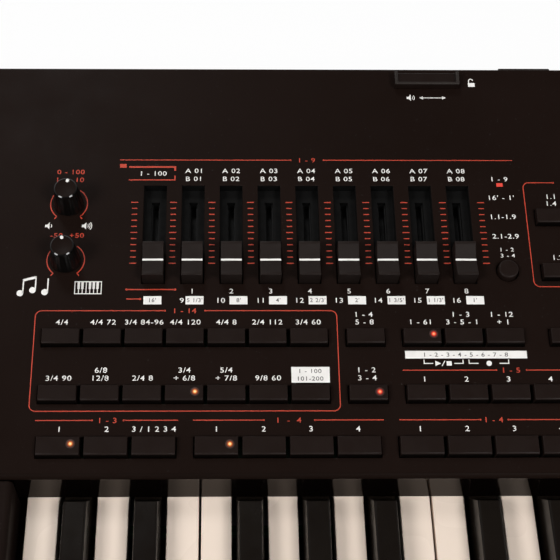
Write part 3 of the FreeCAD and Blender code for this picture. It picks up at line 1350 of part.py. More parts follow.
def power_inlet():
    """Mains inlet with its flange on the outside of the rear wall."""
    piece = Piece("power_inlet")
    outer = "calc.rear_y + dims.inlet_flange"
    piece.pad("flange", "XZ", "calc.rear_y", outer,
              centred("dims.inlet_u", "dims.socket_z", "dims.inlet_width", "dims.inlet_height"))
    piece.pad("shell", "XZ", "calc.rear_y - dims.inlet_length", "calc.rear_y",
              centred("dims.inlet_u", "dims.socket_z", "dims.inlet_body_width", "dims.inlet_body_height"))
    piece.pocket("mouth", "XZ", f"{outer} - dims.inlet_mouth_depth", outer,
                 centred("dims.inlet_u", "dims.socket_z", "dims.inlet_mouth_width",
                         "dims.inlet_mouth_height"))


def check_document():
    """Stops with the names of failed objects and of shapes that are not sound."""
    DOCUMENT.recompute()
    failed = [item.Name for item in DOCUMENT.Objects if {"Invalid", "Error"} & set(item.State)]
    unsound = [node.Label for node in NODES if node.Shape.isNull() or not node.Shape.isValid()]
    if failed or unsound:
        raise RuntimeError(f"failed: {failed}; not sound: {unsound}")


def export_nodes():
    """Writes each sub-part to its own file."""
    os.makedirs("parts", exist_ok=True)
    for node in NODES:
        node.Shape.exportStep(f"parts/{node.Label}.step")


SUB_PARTS = (lower_case, rubber_feet, case_screws, left_end_block, right_end_block, key_slip, rear_panel,
             control_panel, panel_boards, panel_pots, slider_caps, knobs, data_dial, speaker_lock, display,
             joystick, keybed_frame, key_pivot_rod, key_return_springs, key_felt_strip, contact_board,
             dome_strip, white_keys, black_keys, main_board, power_supply, phone_jacks, data_sockets,
             power_inlet)

for make in SUB_PARTS:
    make()
for group, group_blocks in BUTTONS.items():
    button_group(group, group_blocks)
check_document()
export_nodes()
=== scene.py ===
import json
import math
import bmesh
import bpy
from mathutils import Matrix, Vector


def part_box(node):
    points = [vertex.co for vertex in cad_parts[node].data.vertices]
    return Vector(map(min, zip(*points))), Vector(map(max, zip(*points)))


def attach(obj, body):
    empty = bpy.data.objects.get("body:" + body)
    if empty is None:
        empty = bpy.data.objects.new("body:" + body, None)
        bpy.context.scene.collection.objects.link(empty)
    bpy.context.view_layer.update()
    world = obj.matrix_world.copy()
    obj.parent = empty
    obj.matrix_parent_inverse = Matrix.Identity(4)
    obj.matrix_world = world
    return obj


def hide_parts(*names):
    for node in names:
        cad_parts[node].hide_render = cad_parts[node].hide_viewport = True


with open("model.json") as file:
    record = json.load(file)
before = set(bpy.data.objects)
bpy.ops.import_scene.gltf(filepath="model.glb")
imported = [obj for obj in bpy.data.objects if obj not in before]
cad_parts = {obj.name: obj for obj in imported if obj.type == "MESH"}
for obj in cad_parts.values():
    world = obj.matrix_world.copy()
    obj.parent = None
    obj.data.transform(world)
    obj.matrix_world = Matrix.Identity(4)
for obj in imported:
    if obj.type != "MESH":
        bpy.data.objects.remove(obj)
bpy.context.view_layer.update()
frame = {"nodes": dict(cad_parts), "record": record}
nodes = frame["nodes"]
record = frame["record"]
body_of = {node: body for body, members in record["behaviour"]["bodies"].items() for node in members}
slot_of = {row["node"]: row["material_slot"] for row in record["subparts"]}
scene = bpy.context.scene
MM = 0.001

# The control panel's own axes: u to the right, v up the slope, w out of the surface.
PANEL_FOOT = (0.0, -21.5 * MM, 96.0 * MM)
PANEL_SLOPE = math.radians(6.4)
PANEL = Matrix.Translation(PANEL_FOOT) @ Matrix.Rotation(PANEL_SLOPE, 4, "X")
TO_PANEL = PANEL.inverted()
# The rear wall's own axes: to the right as seen from behind, up, and outwards.
REAR = Matrix.Translation((0.0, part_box("rear_panel")[1].y, 0.0)) @ Matrix(
    ((-1, 0, 0, 0), (0, 0, 1, 0), (0, 1, 0, 0), (0, 0, 0, 1)))
# Millimetres that ink stands above the surface, and ink that is printed on other ink.
INK_HEIGHT = 0.05
OVERPRINT_HEIGHT = 0.09


# Finishes
DUST_SIZE = 0.9
DUST_DETAIL = 1.0
DUST_RANGE = (0.74, 0.80)
DUST_SHARE = 0.5
GLOSS_SIZE = 0.35
GLOSS_RAGGED = 0.8
GRAIN_DETAIL = 2.0
LANE_SCALE = 90.0
LANE_WIDTH = 0.05
LANE_DEPTH = 0.03
LANE_SHADES = {"Color1": (0.012, 0.085, 0.03), "Color2": (0.016, 0.10, 0.036),
               "Mortar": (0.05, 0.21, 0.08)}
BOARD_BLOTCH = 8.0
BOARD_ROUGH = (0.25, 0.42)
SMOKE_SIZE = 0.6
SMOKE_SHADES = ((0.010, 0.007, 0.006), (0.014, 0.010, 0.008))
LENS_GRAIN = 0.4
LENS_ROUGH = (0.3, 0.42)
LAMP_STRENGTH = 1.3


def shader_tree(name):
    """A new material, its node tree and its main shader."""
    material = bpy.data.materials.new(name)
    material.use_nodes = True
    tree = material.node_tree
    return material, tree, tree.nodes["Principled BSDF"]


def noise(tree, size, detail=3.0, stretch=(1.0, 1.0, 1.0)):
    """Noise in the piece's own coordinates, with blotches about size millimetres across."""
    place = tree.nodes.new("ShaderNodeTexCoord")
    scale = tree.nodes.new("ShaderNodeMapping")
    scale.inputs["Scale"].default_value = stretch
    pattern = tree.nodes.new("ShaderNodeTexNoise")
    pattern.inputs["Scale"].default_value = 1.0 / (size * MM)
    pattern.inputs["Detail"].default_value = detail
    tree.links.new(place.outputs["Object"], scale.inputs["Vector"])
    tree.links.new(scale.outputs["Vector"], pattern.inputs["Vector"])
    return pattern.outputs["Fac"]


def spread(tree, value, low, high, start=0.3, end=0.7):
    """The value's range from start to end, mapped on to low to high."""
    ramp = tree.nodes.new("ShaderNodeMapRange")
    ramp.inputs["From Min"].default_value = start
    ramp.inputs["From Max"].default_value = end
    ramp.inputs["To Min"].default_value = low
    ramp.inputs["To Max"].default_value = high
    tree.links.new(value, ramp.inputs["Value"])
    return ramp.outputs["Result"]


def tint(tree, share, first, second):
    """A colour between two shades, or between a shade and another node's colour."""
    mix = tree.nodes.new("ShaderNodeMix")
    mix.data_type = "RGBA"
    tree.links.new(share, mix.inputs["Factor"])
    for socket, shade in ((mix.inputs[6], first), (mix.inputs[7], second)):
        if isinstance(shade, tuple):
            socket.default_value = (*shade, 1.0)
        else:
            tree.links.new(shade, socket)
    return mix.outputs[2]


def relief(tree, shader, height, depth):
    """Bumps of the given depth in millimetres."""
    bump = tree.nodes.new("ShaderNodeBump")
    bump.inputs["Distance"].default_value = depth * MM
    tree.links.new(height, bump.inputs["Height"])
    tree.links.new(bump.outputs["Normal"], shader.inputs["Normal"])


def coating(name, dark, light, rough, grain, depth, blotch=30.0, dust=None, stretch=(1, 1, 1), ragged=5.0,
            **sockets):
    """Moulded or painted finish: slow colour drift, uneven gloss, fine grain and a few specks of dust."""
    material, tree, shader = shader_tree(name)
    shade = tint(tree, spread(tree, noise(tree, blotch, ragged), 0.0, 1.0), dark, light)
    if dust:
        specks = spread(tree, noise(tree, DUST_SIZE, DUST_DETAIL), 0.0, DUST_SHARE, *DUST_RANGE)
        shade = tint(tree, specks, shade, dust)
    tree.links.new(shade, shader.inputs["Base Color"])
    gloss = spread(tree, noise(tree, blotch * GLOSS_SIZE, ragged * GLOSS_RAGGED, stretch), *rough)
    tree.links.new(gloss, shader.inputs["Roughness"])
    relief(tree, shader, noise(tree, grain, GRAIN_DETAIL, stretch), depth)
    for socket, value in sockets.items():
        shader.inputs[socket.replace("_", " ")].default_value = value
    return material


def circuit_finish():
    """Green lacquer over a grid of slightly lighter copper lanes."""
    material, tree, shader = shader_tree("board_lacquer")
    place = tree.nodes.new("ShaderNodeTexCoord")
    lanes = tree.nodes.new("ShaderNodeTexBrick")
    lanes.inputs["Scale"].default_value = LANE_SCALE
    lanes.inputs["Mortar Size"].default_value = LANE_WIDTH
    for socket, shade in LANE_SHADES.items():
        lanes.inputs[socket].default_value = (*shade, 1.0)
    tree.links.new(place.outputs["Object"], lanes.inputs["Vector"])
    tree.links.new(lanes.outputs["Color"], shader.inputs["Base Color"])
    tree.links.new(spread(tree, noise(tree, BOARD_BLOTCH), *BOARD_ROUGH), shader.inputs["Roughness"])
    relief(tree, shader, lanes.outputs["Fac"], LANE_DEPTH)
    return material


def lamp_finish(name, stops):
    """Lit lamp under a smoked lens: pale in the middle, then coloured, and dark at its rim."""
    material, tree, shader = shader_tree(name)
    place = tree.nodes.new("ShaderNodeTexCoord")
    centre = tree.nodes.new("ShaderNodeMapping")
    centre.inputs["Location"].default_value = (-1.0, -1.0, 0.0)
    centre.inputs["Scale"].default_value = (2.0, 2.0, 0.0)
    fall = tree.nodes.new("ShaderNodeTexGradient")
    fall.gradient_type = "SPHERICAL"
    ramp = tree.nodes.new("ShaderNodeValToRGB")
    for position, shade in stops:
        stop = ramp.color_ramp.elements.new(position)
        stop.color = (*shade, 1.0)
    ramp.color_ramp.elements.remove(ramp.color_ramp.elements[-1])
    tree.links.new(place.outputs["Generated"], centre.inputs["Vector"])
    tree.links.new(centre.outputs["Vector"], fall.inputs["Vector"])
    tree.links.new(fall.outputs["Fac"], ramp.inputs["Fac"])
    tree.links.new(ramp.outputs["Color"], shader.inputs["Emission Color"])
    smoke = tint(tree, spread(tree, noise(tree, SMOKE_SIZE), 0.0, 1.0), *SMOKE_SHADES)
    tree.links.new(smoke, shader.inputs["Base Color"])
    tree.links.new(spread(tree, noise(tree, LENS_GRAIN), *LENS_ROUGH), shader.inputs["Roughness"])
    shader.inputs["Emission Strength"].default_value = LAMP_STRENGTH
    return material


# Each coating: name, darker and lighter shade, range of roughness, then the grain's size and depth and
# the blotches' size in millimetres, the dust's shade if there is dust, and what its shader sets besides.
PALE_DUST = (0.05, 0.045, 0.042)
INK = dict(rough=(0.5, 0.6), grain=0.12, depth=0.004, blotch=6.0)
# Each lamp: shades from the rim to the middle.
ORANGE_STOPS = ((0.30, (0.05, 0.008, 0.001)), (0.58, (0.42, 0.075, 0.008)),
                (0.76, (1.0, 0.48, 0.14)), (0.92, (1.0, 0.70, 0.36)))
RED_STOPS = ((0.30, (0.05, 0.003, 0.001)), (0.58, (0.50, 0.020, 0.008)),
             (0.76, (1.0, 0.16, 0.06)), (0.92, (1.0, 0.40, 0.20)))
finish = {
    "panel_dark": coating("panel_paint", (0.0080, 0.0043, 0.0032), (0.0093, 0.0051, 0.0039), (0.36, 0.44),
                          0.32, 0.010, 42.0, PALE_DUST, Specular_IOR_Level=0.035),
    # Darker copy of the panel paint for its front edge: painted shade, with less sheen as well.
    "panel_edge_shaded": coating("panel_edge_painted_shade", (0.0068, 0.0037, 0.0027), (0.0082, 0.0046, 0.0034),
                          (0.40, 0.50), 0.32, 0.010, 42.0, Specular_IOR_Level=0.02),
    # Paler satin for the top of the lock's rim: a painted highlight where light catches it.
    "lock_rim": coating("lock_rim_satin", (0.020, 0.016, 0.014), (0.026, 0.021, 0.018), (0.36, 0.46),
                        0.3, 0.008, 9.0, Specular_IOR_Level=0.12),
    "panel_gloss": coating("panel_front_gloss", (0.0012, 0.0007, 0.0006), (0.0018, 0.0011, 0.0009),
                           (0.05, 0.10), 1.6, 0.004, 20.0, Specular_IOR_Level=0.30,
                           Specular_Tint=(1.0, 0.80, 0.66, 1.0)),
    # Near-black for the inside of the slider troughs: painted shade of the deep slots.
    "trough": coating("trough_black", (0.0014, 0.0013, 0.0012), (0.0024, 0.0022, 0.0021), (0.6, 0.8),
                      0.5, 0.02, 8.0, Specular_IOR_Level=0.12),
    "case_dark": coating("case_grain", (0.0076, 0.0043, 0.0033), (0.0094, 0.0055, 0.0043), (0.46, 0.60),
                         0.55, 0.030, 30.0, PALE_DUST, Specular_IOR_Level=0.04),
    "button": coating("button_satin", (0.0092, 0.0052, 0.0041), (0.0108, 0.0063, 0.0050), (0.36, 0.48),
                      0.28, 0.010, 14.0, Specular_IOR_Level=0.08),
    # Near-black copy of the cap plastic for the caps' front faces: painted shade, as if light fell only
    # from above.
    "button_shaded_front": coating("button_front_painted_shade", (0.0022, 0.0014, 0.0011), (0.0030, 0.0019, 0.0015),
                            (0.45, 0.60), 0.28, 0.010, 14.0, Specular_IOR_Level=0.04),
    "slider": coating("slider_satin", (0.0112, 0.0074, 0.0062), (0.0132, 0.0090, 0.0076), (0.38, 0.50),
                      0.24, 0.010, 9.0, Specular_IOR_Level=0.10),
    "knob": coating("knob_side", (0.0016, 0.0014, 0.0013), (0.0026, 0.0022, 0.0020), (0.30, 0.42),
                    0.5, 0.006, 6.0, Specular_IOR_Level=0.22),
    "knob_rim": coating("knob_rim_gloss", (0.0020, 0.0017, 0.0016), (0.0030, 0.0026, 0.0024), (0.06, 0.10),
                        0.5, 0.001, 6.0, Specular_IOR_Level=0.30),
    "knob_top": coating("knob_top_satin", (0.0078, 0.0044, 0.0034), (0.0094, 0.0054, 0.0042), (0.36, 0.46),
                        0.3, 0.008, 9.0, Specular_IOR_Level=0.04),
    "key_white": coating("key_cream", (0.782, 0.655, 0.552), (0.796, 0.669, 0.566), (0.25, 0.29),
                         2.4, 0.002, 60.0, ragged=0.0, Specular_IOR_Level=0.45, Coat_Weight=0.12,
                         Coat_Roughness=0.12),
    "key_black": coating("key_satin_black", (0.0050, 0.0033, 0.0025), (0.0066, 0.0048, 0.0034),
                         (0.20, 0.28), 0.45, 0.006, 25.0, Specular_IOR_Level=0.15),
    "screen": coating("screen_glass", (0.0032, 0.0038, 0.0048), (0.0046, 0.0054, 0.0066), (0.04, 0.10),
                      12.0, 0.002, 60.0, Coat_Weight=0.5, Coat_Roughness=0.04),
    "rubber": coating("rubber_matt", (0.012, 0.0118, 0.0115), (0.022, 0.0215, 0.021), (0.72, 0.88),
                      0.45, 0.05, 8.0, (0.09, 0.088, 0.085), Specular_IOR_Level=0.3),
    "felt": coating("felt_red", (0.16, 0.022, 0.018), (0.30, 0.05, 0.04), (0.88, 0.98),
                    0.35, 0.12, 2.5, Sheen_Weight=0.6, Sheen_Roughness=0.5),
    "steel": coating("steel_brushed", (0.46, 0.46, 0.47), (0.58, 0.58, 0.59), (0.26, 0.42),
                     0.5, 0.012, 12.0, stretch=(0.06, 1, 1), Metallic=1.0),
    "zinc": coating("zinc_plate", (0.40, 0.41, 0.42), (0.56, 0.57, 0.58), (0.32, 0.52),
                    5.0, 0.010, 9.0, Metallic=1.0),
    "pot_black": coating("pot_blackened", (0.003, 0.003, 0.003), (0.006, 0.0058, 0.0056), (0.5, 0.7),
                         1.2, 0.01, 7.0, Specular_IOR_Level=0.2),
    "circuit_board": circuit_finish(),
    "socket": coating("socket_plastic", (0.008, 0.008, 0.0085), (0.014, 0.014, 0.0145), (0.34, 0.5),
                      0.4, 0.012, 10.0),
    "white_ink": coating("print_white", (0.72, 0.70, 0.67), (0.80, 0.78, 0.75), **INK),
    "red_ink": coating("print_red", (0.40, 0.034, 0.013), (0.48, 0.044, 0.017), **INK),
    "dark_ink": coating("print_dark", (0.05, 0.046, 0.044), (0.08, 0.074, 0.07), **INK),
    "lamp_orange": lamp_finish("lamp_orange", ORANGE_STOPS),
    "lamp_red": lamp_finish("lamp_red", RED_STOPS),
    "lamp_bar": coating("lamp_bar", (0.30, 0.03, 0.02), (0.36, 0.04, 0.03), (0.3, 0.4), 0.4, 0.004, 2.0,
                        Emission_Color=(0.62, 0.045, 0.03, 1.0), Emission_Strength=0.7),
}

for node, part in nodes.items():
    part.data.materials.clear()
    part.data.materials.append(finish["pot_black" if node == "panel_pots" else slot_of[node]])


# Making of pieces
CREASE = math.radians(32.0)
NARROW_FACE = 1.2 * MM
SAME_CORNER = 1e-6
SAME_PLANE = math.radians(0.5)
ROUNDED_FROM = 38.0


def piece(name, form, looks, body, stands_for=None):
    """Makes an object of a form, with its narrow faces shaded smooth, and lets it ride on a body."""
    mesh = bpy.data.meshes.new(name)
    form.to_mesh(mesh)
    form.free()
    for look in looks:
        mesh.materials.append(finish[look])
    mesh.shade_smooth()
    mesh.set_sharp_from_angle(angle=CREASE)
    for face in mesh.polygons:
        corners = [mesh.vertices[index].co for index in face.vertices]
        longest = max((corner - corners[0]).length for corner in corners)
        face.use_smooth = face.area / longest < NARROW_FACE
    made = bpy.data.objects.new(name, mesh)
    scene.collection.objects.link(made)
    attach(made, body)
    if stands_for:
        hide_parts(stands_for)


def solid_of(node):
    """The node's solids with corners joined and flat faces made whole."""
    form = bmesh.new()
    form.from_mesh(nodes[node].data)
    bmesh.ops.remove_doubles(form, verts=form.verts, dist=SAME_CORNER)
    bmesh.ops.dissolve_limit(form, angle_limit=SAME_PLANE, verts=form.verts, edges=form.edges)
    return form


def any_edge(_):
    """Every edge of a form."""
    return True


def soften(form, radius, steps, least=ROUNDED_FROM, chosen=any_edge):
    """Rounds the chosen edges that bend by at least so many degrees, as a mould or a press leaves them."""
    edges = [edge for edge in form.edges
             if edge.is_manifold and edge.calc_face_angle(0.0) > math.radians(least) and chosen(edge)]
    bmesh.ops.bevel(form, geom=edges, offset=radius * MM, offset_type="OFFSET", segments=steps,
                    profile=0.5, affect="EDGES", clamp_overlap=False)


def stand_in(node, form, looks=None):
    """Puts a form in the place of its node."""
    piece(node + "_form", form, looks or (slot_of[node],), body_of[node], node)


def softened(node, radius, steps, least=ROUNDED_FROM, chosen=any_edge):
    """Stands a node's own form, with rounded edges, in its place."""
    form = solid_of(node)
    soften(form, radius, steps, least, chosen)
    stand_in(node, form)


def panel_place(point):
    """A point in the panel's axes, in millimetres."""
    return TO_PANEL @ point / MM


def cap_rows(node):
    """Centres of a node's caps on the panel: rows from the front, each from left to right."""
    form = bmesh.new()
    form.from_mesh(nodes[node].data)
    bmesh.ops.remove_doubles(form, verts=form.verts, dist=SAME_CORNER)
    loose = set(form.verts)
    rows = {}
    while loose:
        waiting = [loose.pop()]
        solid = []
        while waiting:
            corner = waiting.pop()
            solid.append(panel_place(corner.co))
            for edge in corner.link_edges:
                other = edge.other_vert(corner)
                if other in loose:
                    loose.remove(other)
                    waiting.append(other)
        u = (min(spot.x for spot in solid) + max(spot.x for spot in solid)) / 2
        v = (min(spot.y for spot in solid) + max(spot.y for spot in solid)) / 2
        rows.setdefault(round(v), []).append((u, v))
    form.free()
    return [sorted(rows[key]) for key in sorted(rows)]


def slab(form, outline, low=0.0, high=INK_HEIGHT, place=PANEL):
    """A thin prism of ink or a small block: outline and heights in millimetres on the place's plane."""
    rings = []
    for height in (low, high):
        rings.append([form.verts.new(place @ Vector((x * MM, y * MM, height * MM))) for x, y in outline])
    form.faces.new(rings[0][::-1])
    form.faces.new(rings[1])
    for i in range(len(outline)):
        j = (i + 1) % len(outline)
        form.faces.new((rings[0][i], rings[0][j], rings[1][j], rings[1][i]))


def corners_of(left, right, low, high):
    """The four corners of a rectangle."""
    return (left, low), (right, low), (right, high), (left, high)


def bar(form, left, right, low, high):
    """A printed rectangle."""
    slab(form, corners_of(left, right, low, high))


def arc(x, y, radius, first, last, steps):
    """Points on an arc; angles in degrees, counted anticlockwise from the right."""
    turns = [math.radians(first + (last - first) * i / steps) for i in range(steps + 1)]
    return [(x + radius * math.cos(turn), y + radius * math.sin(turn)) for turn in turns]


def disc(form, x, y, radius, sides=16):
    """A printed dot."""
    slab(form, arc(x, y, radius, 0, 360 - 360 / sides, sides - 1))


def stroke(form, line, width, place=PANEL):
    """A printed line of even width along open points."""
    sides = ([], [])
    for i, (x, y) in enumerate(line):
        here = Vector((x, y))
        back = here - Vector(line[i - 1]) if i else Vector(line[1]) - here
        ahead = Vector(line[i + 1]) - here if i < len(line) - 1 else back
        mean = (back.normalized() + ahead.normalized()).normalized()
        reach = width / 2 / max(mean.dot(back.normalized()), 0.5)
        sides[0].append((x - mean.y * reach, y + mean.x * reach))
        sides[1].append((x + mean.y * reach, y - mean.x * reach))
    slab(form, sides[1] + sides[0][::-1], place=place)


lettering = bpy.data.objects.new("lettering", bpy.data.curves.new("lettering", "FONT"))
lettering.data.resolution_u = 3
lettering.data.offset = 0.005
lettering.data.space_character = 1.1
scene.collection.objects.link(lettering)
# Height of a figure as a share of the type's size, and the usual height and width of the print.
FIGURE_SHARE = 0.70
FIGURE = 2.25
SMALL_FIGURE = 1.8
LARGE_FIGURE = 3.0
WIDE = 1.2
LESS_WIDE = 1.05


def letters(form, words, x, y, height=FIGURE, place=PANEL, top=INK_HEIGHT, widen=WIDE):
    """Prints numbers or signs, a little wide, centred on a point."""
    lettering.data.body = words
    bpy.context.view_layer.update()
    mesh = bpy.data.meshes.new_from_object(lettering.evaluated_get(bpy.context.evaluated_depsgraph_get()))
    xs = [corner.co.x for corner in mesh.vertices]
    middle = (min(xs) + max(xs)) / 2
    scale = height * MM / FIGURE_SHARE
    flat = bmesh.new()
    flat.from_mesh(mesh)
    bpy.data.meshes.remove(mesh)
    raised = bmesh.ops.extrude_face_region(flat, geom=flat.faces[:])
    for corner in raised["geom"]:
        if isinstance(corner, bmesh.types.BMVert):
            corner.co.z += top * MM / scale
    bmesh.ops.recalc_face_normals(flat, faces=flat.faces)
    spot = Matrix.Translation((x * MM, (y - height / 2) * MM, 0.0))
    sized = Matrix.Diagonal((scale * widen, scale, scale, 1.0)) @ Matrix.Translation((-middle, 0.0, 0.0))
    bmesh.ops.transform(flat, verts=flat.verts, matrix=place @ spot @ sized)
    mesh = bpy.data.meshes.new("word")
    flat.to_mesh(mesh)
    flat.free()
    form.from_mesh(mesh)
    bpy.data.meshes.remove(mesh)


def turned(form, profile, place, steps, flutes=0, depth=0.0, ribbed=(), zones=()):
    """A turned solid: radius and height of each row in millimetres, the rows with flutes, and the rows
    at which the next finish starts."""
    rings = []
    for row, (radius, height) in enumerate(profile):
        if radius == 0:
            rings.append([form.verts.new(place @ Vector((0, 0, height * MM)))])
            continue
        ring = []
        for i in range(steps):
            angle = 2 * math.pi * i / steps
            groove = depth * (0.5 + 0.5 * math.cos(flutes * angle)) ** 2 if row in ribbed else 0.0
            reach = radius - groove
            ring.append(form.verts.new(place @ Vector((
                reach * MM * math.cos(angle), reach * MM * math.sin(angle), height * MM))))
        rings.append(ring)
    for row, (lower, upper) in enumerate(zip(rings, rings[1:])):
        for i in range(steps):
            j = (i + 1) % steps
            corners = [lower[i % len(lower)], lower[j % len(lower)],
                       upper[j % len(upper)], upper[i % len(upper)]]
            face = form.faces.new(list(dict.fromkeys(corners)))
            face.material_index = sum(row >= zone for zone in zones)


# Roundings of edges: radius in millimetres, steps and, where it isn't the usual one, the least bend
WHITE_KEY_EDGE = (0.45, 3)
BLACK_KEY_EDGE = (0.75, 4, 30.0)
PANEL_RIM_EDGE = (0.25, 2, 60.0)
CAP_FRONT_EDGE = (0.9, 5, 50.0)
CAP_EDGE = (0.35, 3, 50.0)
ROUND_CAP_EDGE = (0.9, 4, 50.0)
SLIDER_EDGE = (0.3, 3, 12.0)
LOCK_EDGE = (0.35, 3, 55.0)
JOYSTICK_EDGES = {"joystick_ring": (0.3, 2, 55.0), "joystick_stick": (0.2, 2, 55.0)}
CASE_RADII = {"left_end_block": 0.8, "right_end_block": 0.8, "key_slip": 1.2, "rear_panel": 0.4,
              "lower_case": 0.5, "display_housing": 0.5, "display_screen": 0.3, "rubber_feet": 1.0,
              "power_inlet": 0.3, "data_sockets": 0.25}
CASE_EDGE = (3, 50.0)

# Keys: cream naturals with softened edges, black sharps with rounder ones
BLACK_END = -32.0 * MM


def before_end(edge):
    """An edge of a black key that isn't at its end under the panel."""
    return min(corner.co.y for corner in edge.verts) < BLACK_END


for note in "cdefgab":
    softened("key_" + note, *WHITE_KEY_EDGE)
for note in "cdfga":
    softened(f"key_{note}_sharp", *BLACK_KEY_EDGE, before_end)


# Control panel: cut-outs with a fine painted rim, a front edge painted darker as shade, troughs painted
# near-black as shade, and a glossy face down to the keys
TOP_SLACK = 0.05
FRONTWARD = -0.7
GLOSS_BELOW = -2.0
GLOSS_BEFORE = 1.0
TROUGH_BELOW = -0.5
TROUGH_RUN = (84.0, 134.0)
TROUGH_MARGIN = 2.0
EDGE_BEFORE = 2.3
EDGE_LEAN = -0.14


def upper_rim(edge):
    """An edge that lies in the panel's top face."""
    return all(abs(panel_place(corner.co).z) < TOP_SLACK for corner in edge.verts)


def control_panel():
    """The panel, with a finish of its own on its glossy face, and painted shade in its troughs and on its
    front edge.
    """
    form = solid_of("control_panel")
    soften(form, *PANEL_RIM_EDGE, upper_rim)
    left = panel_place(Vector(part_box("slider_cap_1")[0])).x - TROUGH_MARGIN
    right = panel_place(Vector(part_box("slider_cap_9")[1])).x + TROUGH_MARGIN
    front, back = TROUGH_RUN
    # Faces inside the troughs and on the front edge get painted shade.
    for face in form.faces:
        middle = panel_place(face.calc_center_median())
        if middle.z < GLOSS_BELOW and middle.y < GLOSS_BEFORE and face.normal.y < FRONTWARD:
            face.material_index = 1
        elif middle.z < TROUGH_BELOW and left < middle.x < right and front < middle.y < back:
            face.material_index = 2
        elif middle.y < EDGE_BEFORE and face.normal.y < EDGE_LEAN:
            face.material_index = 3
    stand_in("control_panel", form, ("panel_dark", "panel_gloss", "trough", "panel_edge_shaded"))


control_panel()
for node, radius in CASE_RADII.items():
    softened(node, radius, *CASE_EDGE)

# Buttons: caps with a round front edge, their front faces painted near-black as shade
CAP_RISE = 2.8
CAP_SLACK = 0.02
SIGHT_FROM = -1.0
SHADED_FRONT_FACE = -0.9
BUTTONS = ("style_buttons", "option_buttons", "pad_buttons", "intro_buttons", "variation_buttons",
           "fill_buttons", "mode_buttons", "sound_buttons", "power_button")


def in_sight(edge):
    """An edge above the panel."""
    return all(panel_place(corner.co).z > SIGHT_FROM for corner in edge.verts)


def front_rim(edge):
    """The upper front edge of a cap."""
    level = all(abs(panel_place(corner.co).z - CAP_RISE) < CAP_SLACK for corner in edge.verts)
    return level and any(face.normal.y < FRONTWARD for face in edge.link_faces)


for node in BUTTONS:
    cap = solid_of(node)
    soften(cap, *CAP_FRONT_EDGE, front_rim)
    soften(cap, *CAP_EDGE, in_sight)
    # Faces pointing forward get the near-black finish: painted shade.
    for face in cap.faces:
        face.material_index = int(face.normal.y < SHADED_FRONT_FACE)
    stand_in(node, cap, (slot_of[node], "button_shaded_front"))
softened("slider_mode_button", *ROUND_CAP_EDGE, in_sight)

# Slider caps, with a white line across the hollow
SLIDER_COUNT = 9
SLIDER_V = 94.0
VALLEY_RISE = 5.0
LINE_REACH = (4.42, 0.46)
LINE_SUNK = 0.1
LINE_PROUD = 0.05


def slider_middle(number):
    """Distance of a slider's middle along the panel."""
    low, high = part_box(f"slider_cap_{number}")
    return (low.x + high.x) / 2 / MM


for number in range(1, SLIDER_COUNT + 1):
    node = f"slider_cap_{number}"
    softened(node, *SLIDER_EDGE, in_sight)
    line = bmesh.new()
    u = slider_middle(number)
    wide, deep = LINE_REACH
    slab(line, corners_of(u - wide, u + wide, SLIDER_V - deep, SLIDER_V + deep),
         VALLEY_RISE - LINE_SUNK, VALLEY_RISE + LINE_PROUD)
    piece(f"slider_line_{number}", line, ("white_ink",), node)


# Knobs and dial: fluted sides, a bright rim and a satin top
KNOB_PROFILE = ((0, -7.0), (3.0, -7.0), (3.0, 0.6), (6.1, 0.6), (6.4, 0.9), (6.38, 1.6), (5.15, 12.2),
                (5.0, 13.6), (4.92, 13.92), (4.44, 14.2), (4.34, 14.19), (4.26, 14.1), (2.6, 13.82),
                (0, 13.7))
DIAL_PROFILE = ((0, -7.0), (3.0, -7.0), (3.0, 0.6), (20.6, 0.6), (21.0, 1.0), (20.95, 1.8), (20.6, 10.4),
                (20.3, 11.3), (19.6, 11.85), (18.6, 12.0), (17.4, 11.8), (6.6, 11.7), (6.0, 11.4),
                (4.0, 10.6), (0, 10.4))
FLUTED_ROWS = (5, 6)
# Steps round the form, number and depth of flutes, the rows with flutes, and those that start a finish
KNOB_MAKE = (96, 16, 0.3, FLUTED_ROWS, (8, 9))
DIAL_MAKE = (240, 60, 0.45, FLUTED_ROWS, (7, 10))
KNOB_LOOKS = ("knob", "knob_rim", "knob_top")
KNOB_U = -372.7
# Place up the panel, and degrees that the pointer stands away from straight up
KNOB_TURNS = {"master_volume_knob": (123.6, -10.0), "balance_knob": (96.2, 4.0)}
DIAL = (191.0, 150.0)
POINTER_PROFILE = ((0, -0.25), (0.76, -0.25), (0.75, 0.13), (0.45, 0.2), (0, 0.21))
POINTER_STEPS = 20
POINTER_OUT = 3.78 * MM
POINTER_RISE = 14.06 * MM


def knob(node, v, turn):
    """A fluted knob with a white dot for its pointer."""
    place = PANEL @ Matrix.Translation((KNOB_U * MM, v * MM, 0.0))
    form = bmesh.new()
    turned(form, KNOB_PROFILE, place, *KNOB_MAKE)
    stand_in(node, form, KNOB_LOOKS)
    dot = bmesh.new()
    angle = math.radians(90.0 + turn)
    spot = place @ Matrix.Translation((POINTER_OUT * math.cos(angle), POINTER_OUT * math.sin(angle),
                                       POINTER_RISE))
    turned(dot, POINTER_PROFILE, spot, POINTER_STEPS)
    piece(node + "_mark", dot, ("white_ink",), node)


for node, (v, turn) in KNOB_TURNS.items():
    knob(node, v, turn)
dial = bmesh.new()
turned(dial, DIAL_PROFILE, PANEL @ Matrix.Translation((DIAL[0] * MM, DIAL[1] * MM, 0.0)), *DIAL_MAKE)
stand_in("data_dial", dial, KNOB_LOOKS)


# Joystick: dome and ball top, with a ribbed collar at the foot of the stick
COLLAR_FOOT = ((0, 21.0), (8.6, 21.0), (8.6, 22.6))
COLLAR_RIB = ((7.9, 23.4), (7.3, 23.9), (7.3, 24.4))
COLLAR_TOP = ((3.7, 29.4), (0, 29.4))
COLLAR_STEPS = 48
RIB_COUNT = 4
RIB_IN = 1.0
RIB_UP = 1.5


